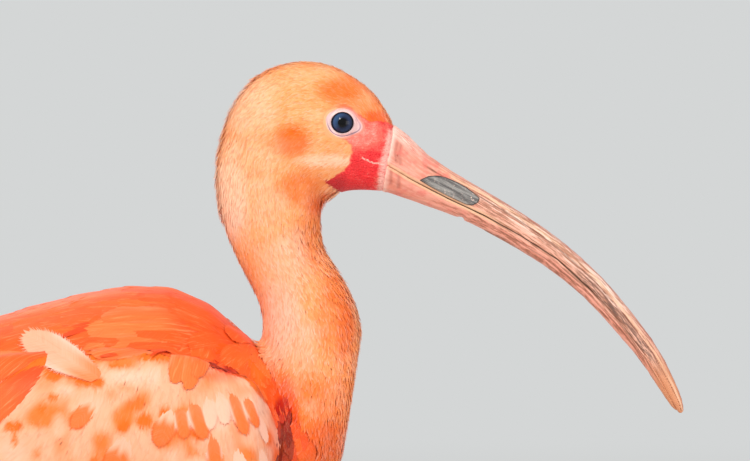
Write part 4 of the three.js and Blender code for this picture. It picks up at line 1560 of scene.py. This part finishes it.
def make_neck_down(support):
    def wanted(rng, p, zone, normal):
        return (p[:, 2] <= HEAD_FROM) & kind(zone, "neck") & (p[:, 2] > NECK_FOOT)

    coat = Coat("neck_down", support, wanted)
    _, normal, _, _ = support.at(coat.roots)
    front = fade(normal[:, 0], 0.2, 0.8)
    # The nook is where the back of the neck meets the mantle
    nook = fade(-normal[:, 0], 0, 0.5) * fade(-coat.roots[:, 2], -256, -240)
    length = coat.even(*coat.lengths) * (1 + 0.2 * front) * (1 - 0.5 * nook)
    rise = coat.about(0.02, 0.04) + front * coat.even(0, 0.9) ** 3 - 0.15 * nook
    obj = lay(
        "neck_down", support, coat.roots, blade(FINE_LOCK, 0.06), length, coat.even(*coat.widths),
        turn=coat.about(0, 0.16), bend=coat.about(0, 0.09), curl=coat.even(-0.03, 0.1) * (0.2 + front),
        deep=0.15, rise=rise, steps=2, seed=23, soft=0.94, settle=0.4, wrap=False,
    )
    obj.data.materials.append(tuft_finish("neck_down", 0.1, 0.45))


def make_mantle(support):
    def wanted(rng, p, zone, normal):
        over_edge = p[:, 2] > mantle_edge(p[:, 0]) + 9
        top = kind(zone, "trunk", "tail", "wing") & (normal[:, 2] > -0.05) & over_edge
        return top & (p[:, 0] > MANTLE_END) & (p[:, 0] < BREAST_FROM)

    coat = Coat("mantle", support, wanted)
    roots = coat.roots
    seam = 1 - fade(roots[:, 2] - mantle_edge(roots[:, 0]), 12, 24)
    length = coat.even(*coat.lengths) * (1 - 0.45 * fade(roots[:, 0], 20, 62))
    heading = pointed(roots, BODY_LIE) + coat.rng.normal(0, 0.09, roots.shape)
    shape = vane(20, 0.1, sweep=0.16, shoulder=0.6)
    obj = lay(
        "mantle", support, roots, shape, length, length * coat.even(*coat.widths),
        heading=heading, bend=coat.about(0, 0.05), cup=0.01, deep=0.6, rise=coat.even(0, 0.22) + 0.2 * seam,
        jitter=0.012, steps=7, seed=33, soft=0.5, settle=0.6,
    )
    obj.data.materials.append(vane_finish("mantle_silk", 0.3, 0.1, 0.5, 0.35, 0.06, 0.4))


def make_breast(support):
    def wanted(rng, p, zone, normal):
        by_place = (p[:, 2] <= mantle_edge(p[:, 0]) + 4) | (p[:, 0] > BREAST_FROM - 3)
        under = kind(zone, "tail") & (normal[:, 2] < 0) & (p[:, 0] > -150)
        return kind(zone, "trunk") & by_place | under | kind(zone, "thigh") & (p[:, 2] > CUFF_HEIGHT)

    coat = Coat("breast", support, wanted)
    length = coat.even(*coat.lengths) * (1 - 0.45 * fade(-coat.roots[:, 2], -168, -150))
    obj = lay(
        "breast", support, coat.roots, vane(8, 0.24, sweep=0.2), length, length * coat.even(*coat.widths),
        turn=coat.about(0, 0.18), bend=coat.about(0, 0.08), cup=0.01, deep=0.55, rise=coat.even(-0.05, 0.1),
        jitter=0.05, steps=3, seed=43, soft=0.9,
    )
    obj.data.materials.append(vane_finish("breast_fluff", 0.2, 0.45, 0.7))


def on_coverts(rng, p, zone, normal):
    under_edge = p[:, 2] < mantle_edge(p[:, 0]) + 9
    return kind(zone, "wing", "flight_feathers") & (p[:, 0] > COVERTS_END) & under_edge


def make_coverts(support):
    coat = Coat("coverts", support, on_coverts)
    length = coat.even(*coat.lengths) * (1 - 0.3 * fade(coat.roots[:, 0], 15, 50))
    shape = vane(14, 0.25, sweep=0.22, bulge=0.03)
    obj = lay(
        "coverts", support, coat.roots, shape, length, length * coat.even(*coat.widths),
        turn=coat.about(0, 0.13), bend=coat.about(0, 0.06), cup=0.02, deep=0.7, rise=coat.even(-0.3, -0.1),
        jitter=0.03, steps=4, seed=53, soft=0.92, plain=False,
    )
    obj.data.materials.append(vane_finish("covert_comb", 0.05, 0.5, 0.65, 0.06, 0.0, 0.1))


def make_covert_down(support):
    """The loose ends of the coverts' barbs, combed down over the wing, and the down in the fold before it."""
    def wanted(rng, p, zone, normal):
        by_edge = np.abs(p[:, 2] - mantle_edge(p[:, 0])) < 13
        fold = kind(zone, "trunk", "wing") & (np.abs(p[:, 0] - 47) < 13) & by_edge
        return on_coverts(rng, p, zone, normal) | fold

    coat = Coat("covert_down", support, wanted)
    obj = lay(
        "covert_down", support, coat.roots, strand(), coat.even(*coat.lengths), coat.even(*coat.widths),
        turn=coat.about(0, 0.06) + 0.25 * (blotches(coat.roots, 8, 57) - 0.5), bend=coat.about(0, 0.03),
        deep=0.05, rise=coat.even(0.0, 0.14), steps=3, seed=58, soft=1.0, settle=0.4, wrap=False, plain=False,
    )
    obj.data.materials.append(tuft_finish("covert_down", 0.0, 0.15, 0.12))


# Single feathers: warm, pale and red at root and tip, where it turns and how softly, and how pale the edge is
PATTERNS = {
    "spot": ((0.3, 0.65, 0), (1, 0.05, 0.1), 0.5, 0.11, 0.0),
    "pale": ((0.35, 0.55, 0), (0.2, 0.75, 0), 0.4, 0.2, 0.0),
    "blush": ((0.85, 0.1, 0), (0.42, 0.5, 0.14), 0.25, 0.2, 0.4),
    "amber": ((1, 0, 0.6), (1, 0.05, 0.08), 0.25, 0.25, 0.12),
    "flame": ((1, 0, 0.62), (1, 0, 0.35), 0.4, 0.2, 0.0),
    # gap_shade paints thin dark red slivers as the shade in the slits between scapulars
    "gap_shade": ((1, 0, 0.66), (1, 0, 0.8), 0.5, 0.2, 0.0),
    "plume": ((1, 0, 0.3), (1, 0, 0.6), 0.5, 0.3, 0.0),
    "striped": ((1, 0.1, 0), (1, 0.03, 0.08), 0.6, 0.2, 0.9),
}
# Root and tip in the picture, width in millimetres, height over the coat, pattern
SCAPULARS = [
    ((205, 322), (104, 320), 14, 0.8, "amber"), ((204, 330), (92, 334), 15, 0.64, "amber"),
    ((200, 338), (84, 348), 16, 0.48, "amber"), ((198, 345), (100, 358), 13, 0.4, "amber"),
    ((214, 330), (207, 362), 12, 0.4, "flame"), ((194, 338), (179, 386), 8, 0.45, "amber"),
    ((200, 336), (189, 392), 8.5, 0.6, "amber"), ((206, 338), (203, 382), 8, 0.75, "amber"),
    ((120, 318), (8, 350), 14, 0.48, "flame"), ((100, 330), (-6, 378), 14, 0.56, "flame"),
    ((84, 340), (-10, 408), 14, 0.64, "flame"), ((70, 352), (-20, 432), 13, 0.48, "flame"),
    # The gap_shade slivers are painted shade in the slits between the scapulars
    ((134, 315), (65, 335), 2.8, 1.1, "gap_shade"), ((196, 340), (155, 358), 1.8, 1.1, "gap_shade"),
    ((140, 350), (108, 353), 1.6, 1.0, "gap_shade"),
]
SPOTTED = [
    ((114, 378), (85, 423), 7.5, 0.3, "spot"), ((182, 390), (168, 440), 9, 0.4, "spot"),
    ((140, 418), (120, 468), 10, 0.4, "spot"),
]
WRIST = [
    ((184, 388), (190, 432), 7, 0.4, "striped"), ((196, 382), (205, 434), 8, 0.45, "striped"),
    ((210, 376), (219, 424), 7, 0.35, "pale"), ((220, 374), (230, 420), 7, 0.4, "pale"),
    ((230, 375), (246, 431), 7.5, 0.45, "striped"), ((242, 380), (259, 424), 7, 0.4, "striped"),
    ((252, 390), (268, 440), 6.5, 0.3, "pale"), ((214, 408), (221, 466), 8, 0.25, "striped"),
    ((236, 420), (244, 472), 7.5, 0.2, "pale"), ((256, 420), (266, 470), 7, 0.2, "pale"),
]


def patterned(names):
    """Paints each feather by its own pattern."""
    rows = [PATTERNS[name] for name in names]
    root, tip = (np.array([row[k] for row in rows])[:, None, :] for k in (0, 1))
    turn, soft, edge = (np.array([row[k] for row in rows])[:, None] for k in (2, 3, 4))

    def job(along, place):
        ragged = 0.05 * np.sin(place * 9 + 5 * turn + np.arange(len(rows))[:, None])
        share = fade((along - turn - 0.06 * place**2 + ragged) / soft, -1, 1)[..., None]
        made = root * (1 - share) + tip * share
        made[..., 1] += edge * fade(np.abs(place), 0.4, 0.8) * (1 - fade(along, 0.7, 0.85))
        return np.clip(made, 0, 1)

    return job


def hand_laid(name, support, rows, barbs, fray, base, sweep, shoulder, finish, seed):
    """Single feathers on both sides of the bird, from the list for the side in the picture."""
    ends = [[on_side(support, [side_of(*row[k]) for row in rows], side) for k in (0, 1)] for side in SIDES]
    roots, tips = (np.concatenate([pair[k] for pair in ends]) for k in (0, 1))
    length = np.linalg.norm(tips - roots, axis=1)
    width, rise = (np.tile([row[k] for row in rows], 2) for k in (2, 3))
    rng = np.random.default_rng(seed)
    shape = vane(barbs, fray, base=base, sweep=sweep, shoulder=shoulder, columns=3)
    obj = lay(
        name, support, roots, shape, length, width, heading=tips - roots, steps=8, deep=1.0, rise=rise,
        bend=rng.normal(0, 0.04, len(roots)), cup=0.015, jitter=0.02, seed=seed, soft=0.6, settle=0.5,
        paint_job=patterned([row[4] for row in rows] * 2),
    )
    obj.data.materials.append(finish)


STRAY_FEATHER = ((108, 374), (33, 333), 15)  # root, tip and width of the loose plume on the wing
STRAY_HEIGHT = 1.6


def make_stray_feather(support, finish):
    """A loose pale plume that lies over the fold between the coverts and the mantle, on both sides."""
    steps = 4
    shape = vane(90, 0.2, sweep=0.25, shoulder=0.66, base=0.35, columns=3)
    root, tip, width = STRAY_FEATHER
    share = np.linspace(0, 1, steps + 1)[:, None]
    middle = np.array(side_of(*root)) * (1 - share) + np.array(side_of(*tip)) * share
    path = np.array([on_side(support, middle, side) for side in SIDES])
    out = np.array([unit(support.at(line)[1].mean(0)) for line in path])
    path = path + out[:, None] * STRAY_HEIGHT
    normals = np.repeat(out[:, None], steps + 1, 1)
    ways = np.repeat(unit(path[:, -1] - path[:, 0])[:, None], steps + 1, 1)
    length = np.linalg.norm(path[:, -1] - path[:, 0], axis=1)
    zone = np.full(2, ZONES.index("wing"))
    obj = feathered(
        "stray_feather", shape, path, normals, ways, zone, length, width, None, deep=2.0, rise=0.6, cup=0.09,
        bend=0.03, jitter=0.03, seed=64, soft=0.9, settle=0.5, paint_job=patterned(["blush"] * 2),
    )
    obj.data.materials.append(finish)


def make_single_feathers(support):
    silk = vane_finish("scapular_silk", 0.2, 0.06, 0.5, 0.25, 0.05, 0.5)
    fluff = vane_finish("spotted_fluff", 0.0, 0.3, 0.65, 0.04, 0.0, 0.15)
    hand_laid("scapulars", support, SCAPULARS, 44, 0.08, 0.35, 0.14, 0.55, silk, 61)
    hand_laid("spotted_coverts", support, SPOTTED, 64, 0.22, 0.35, 0.2, 0.6, fluff, 62)
    hand_laid("wrist_coverts", support, WRIST, 56, 0.3, 0.7, 0.2, 0.6, fluff, 63)
    make_stray_feather(support, fluff)


# Flight feathers: first and last root and tip (x, z), number, width, height over the wing, share of ink
PLUME_ROWS = [
    ((-92, 206), (-118, 196), (-196, 204), (-186, 196), 6, 11, 0.2, 1.0),
    ((-62, 232), (-84, 192), (-150, 211), (-140, 190), 9, 15, 0.7, 0.0),
    ((-44, 249), (-74, 236), (-132, 226), (-150, 208), 5, 20, 1.4, 0.0),
]


def make_flight_feathers(support):
    shape = vane(60, 0.12, sweep=0.1, base=0.5)
    roots, tips, width, rise, ink = [], [], [], [], []
    for side in SIDES:
        for first, last, first_tip, last_tip, number, wide, high, inked in PLUME_ROWS:
            share = np.linspace(0, 1, number)[:, None]
            for a, b, places in ((first, last, roots), (first_tip, last_tip, tips)):
                places.append(on_side(support, np.array(a) * (1 - share) + np.array(b) * share, side))
            width.append(np.full(number, wide))
            rise.append(high - 0.5 * share[:, 0])
            ink.append(np.full(number, inked))
    roots, tips, width, rise, ink = (np.concatenate(rows) for rows in (roots, tips, width, rise, ink))
    obj = lay(
        "flight_feathers", support, roots, shape, np.linalg.norm(tips - roots, axis=1), width,
        heading=tips - roots, steps=14, deep=0.6, rise=rise, bend=0.015, cup=0.06, jitter=0.01, seed=81,
        soft=0.5, settle=0.6, own_cells=True, wrap=False, paint_job=patterned(["plume"] * len(roots)),
    )
    along = np.tile(shape.rows[:, 0], len(roots))
    put_attributes(obj.data, ink=np.repeat(ink, len(shape.rows)) * fade(along, 0.7, 0.86))
    obj.data.materials.append(vane_finish("flight_vane", 0.2, 0.3, 0.5, 0.3, inked=True))


TAIL_FEATHERS = 12
TAIL_ROOT = (-104, 9, 209)  # x, half the width over which the roots stand, z
TAIL_TIP = (-193, 20, 199)


def make_tail(support):
    """The tail feathers fan out from the rump, seen alike from above and from below."""
    shape = vane(60, 0.12, sweep=0.1, base=0.5, tip_width=0.25)
    share = np.linspace(-1, 1, TAIL_FEATHERS)
    roots, tips, rise = [], [], []
    for up in (1, -1):
        for place, rows in ((TAIL_ROOT, roots), (TAIL_TIP, tips)):
            for s in share:
                start = (place[0] - 3 * s * s, place[1] * s, place[2] + 60 * up)
                hit = support.tree.ray_cast(start, (0, 0, -up))[0] or support.tree.find_nearest(start)[0]
                rows.append(tuple(hit))
        rise.append(0.6 - 0.5 * np.abs(share))
    roots, tips, rise = np.array(roots), np.array(tips), np.concatenate(rise)
    obj = lay(
        "tail_feathers", support, roots, shape, np.linalg.norm(tips - roots, axis=1), 12.5,
        heading=tips - roots, steps=10, deep=0.5, rise=rise, cup=0.03, jitter=0.01, seed=82, soft=0.5,
        settle=0.6, own_cells=True, wrap=False,
    )
    obj.data.materials.append(vane_finish("tail_vane", 0.2, 0.3, 0.5, 0.3))


PLUME_CORE_DEPTH = 0.8
PLUME_CORE_GRAIN = 1.2


def make_plume_core(finish):
    """The solid under the flight and tail feathers, so that no light comes through them."""
    obj = fused("plume_core", nodes_named(*PLUMES), SEAM_GROWTH, PLUME_CORE_GRAIN)
    softened(obj, 6)
    p = points_of(obj.data)
    set_points(obj.data, p - normals_of(p, triangles_of(obj.data)) * PLUME_CORE_DEPTH)
    p = points_of(obj.data)
    put_attributes(obj.data, marks=markings(p, zones_at(p)))
    obj.data.materials.append(finish)
    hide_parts(*nodes_named(*PLUMES))
    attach(obj, "root")


FACE_CREASE = [(362, 158), (372, 163), (384, 165)]  # in the picture
SCUTE_HEIGHT = 2.3  # of each ring of horn on the legs


def mark_skin(skin):
    """Notes on the skin what its finish reads: the coat's markings and the parts of the face."""
    p = points_of(skin.data)
    face = face_share(p)
    off_crease = np.abs(distance_to(p, sides_of(FACE_CREASE))[0])
    off_bill = np.abs(distance_to(p, sides_of(BILL_BASE_EDGE))[0])
    upper = 0.62 * fade(p[:, 2], 316, 325) - 0.12 * fade(-p[:, 2], -319, -313)
    near_eye = 0.8 * blob(p, side_of(359, 133), (7.5, 6))
    gape = 0.7 * blob(p, side_of(380, 181), (4, 4))
    # deep is painted shade: darker along the face's lower edge under the jaw and at its lower rear corner
    deep = fade(-p[:, 2], -313, -307) + 0.8 * blob(p, side_of(334, 182), (5, 4))
    put_attributes(
        skin.data, marks=markings(p, zones_at(p)), bare=bare(p), face=face,
        coral=np.clip(upper + near_eye + gape, 0, 1) * face, bill_edge=(1 - fade(off_bill, 0.1, 3.4)) * face,
        deep=np.clip(deep * 0.85, 0, 1) * (1 - fade(p[:, 0], 84, 94)) * face,
        crease=(1 - fade(off_crease, 0.1, 0.6)) * face, scute=p[:, 2] * 2 * math.pi / SCUTE_HEIGHT,
    )


def main():
    support = make_support()
    skin = make_skin()
    mark_skin(skin)
    finish = skin_finish()
    skin.data.materials.append(finish)
    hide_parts(*nodes_named(*FLESH))
    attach(skin, "root")
    make_plume_core(finish)
    for make in (
        make_head_down, make_locks, make_neck_down, make_mantle, make_breast, make_coverts, make_covert_down,
        make_single_feathers, make_flight_feathers, make_tail,
    ):
        make(support)
    make_bill()
    glass, lid = eye_finish(), lid_finish()
    for side in SIDES:
        make_eye(side, glass)
        make_lids(side, skin, lid)
    make_claws()
    make_studio()


main()
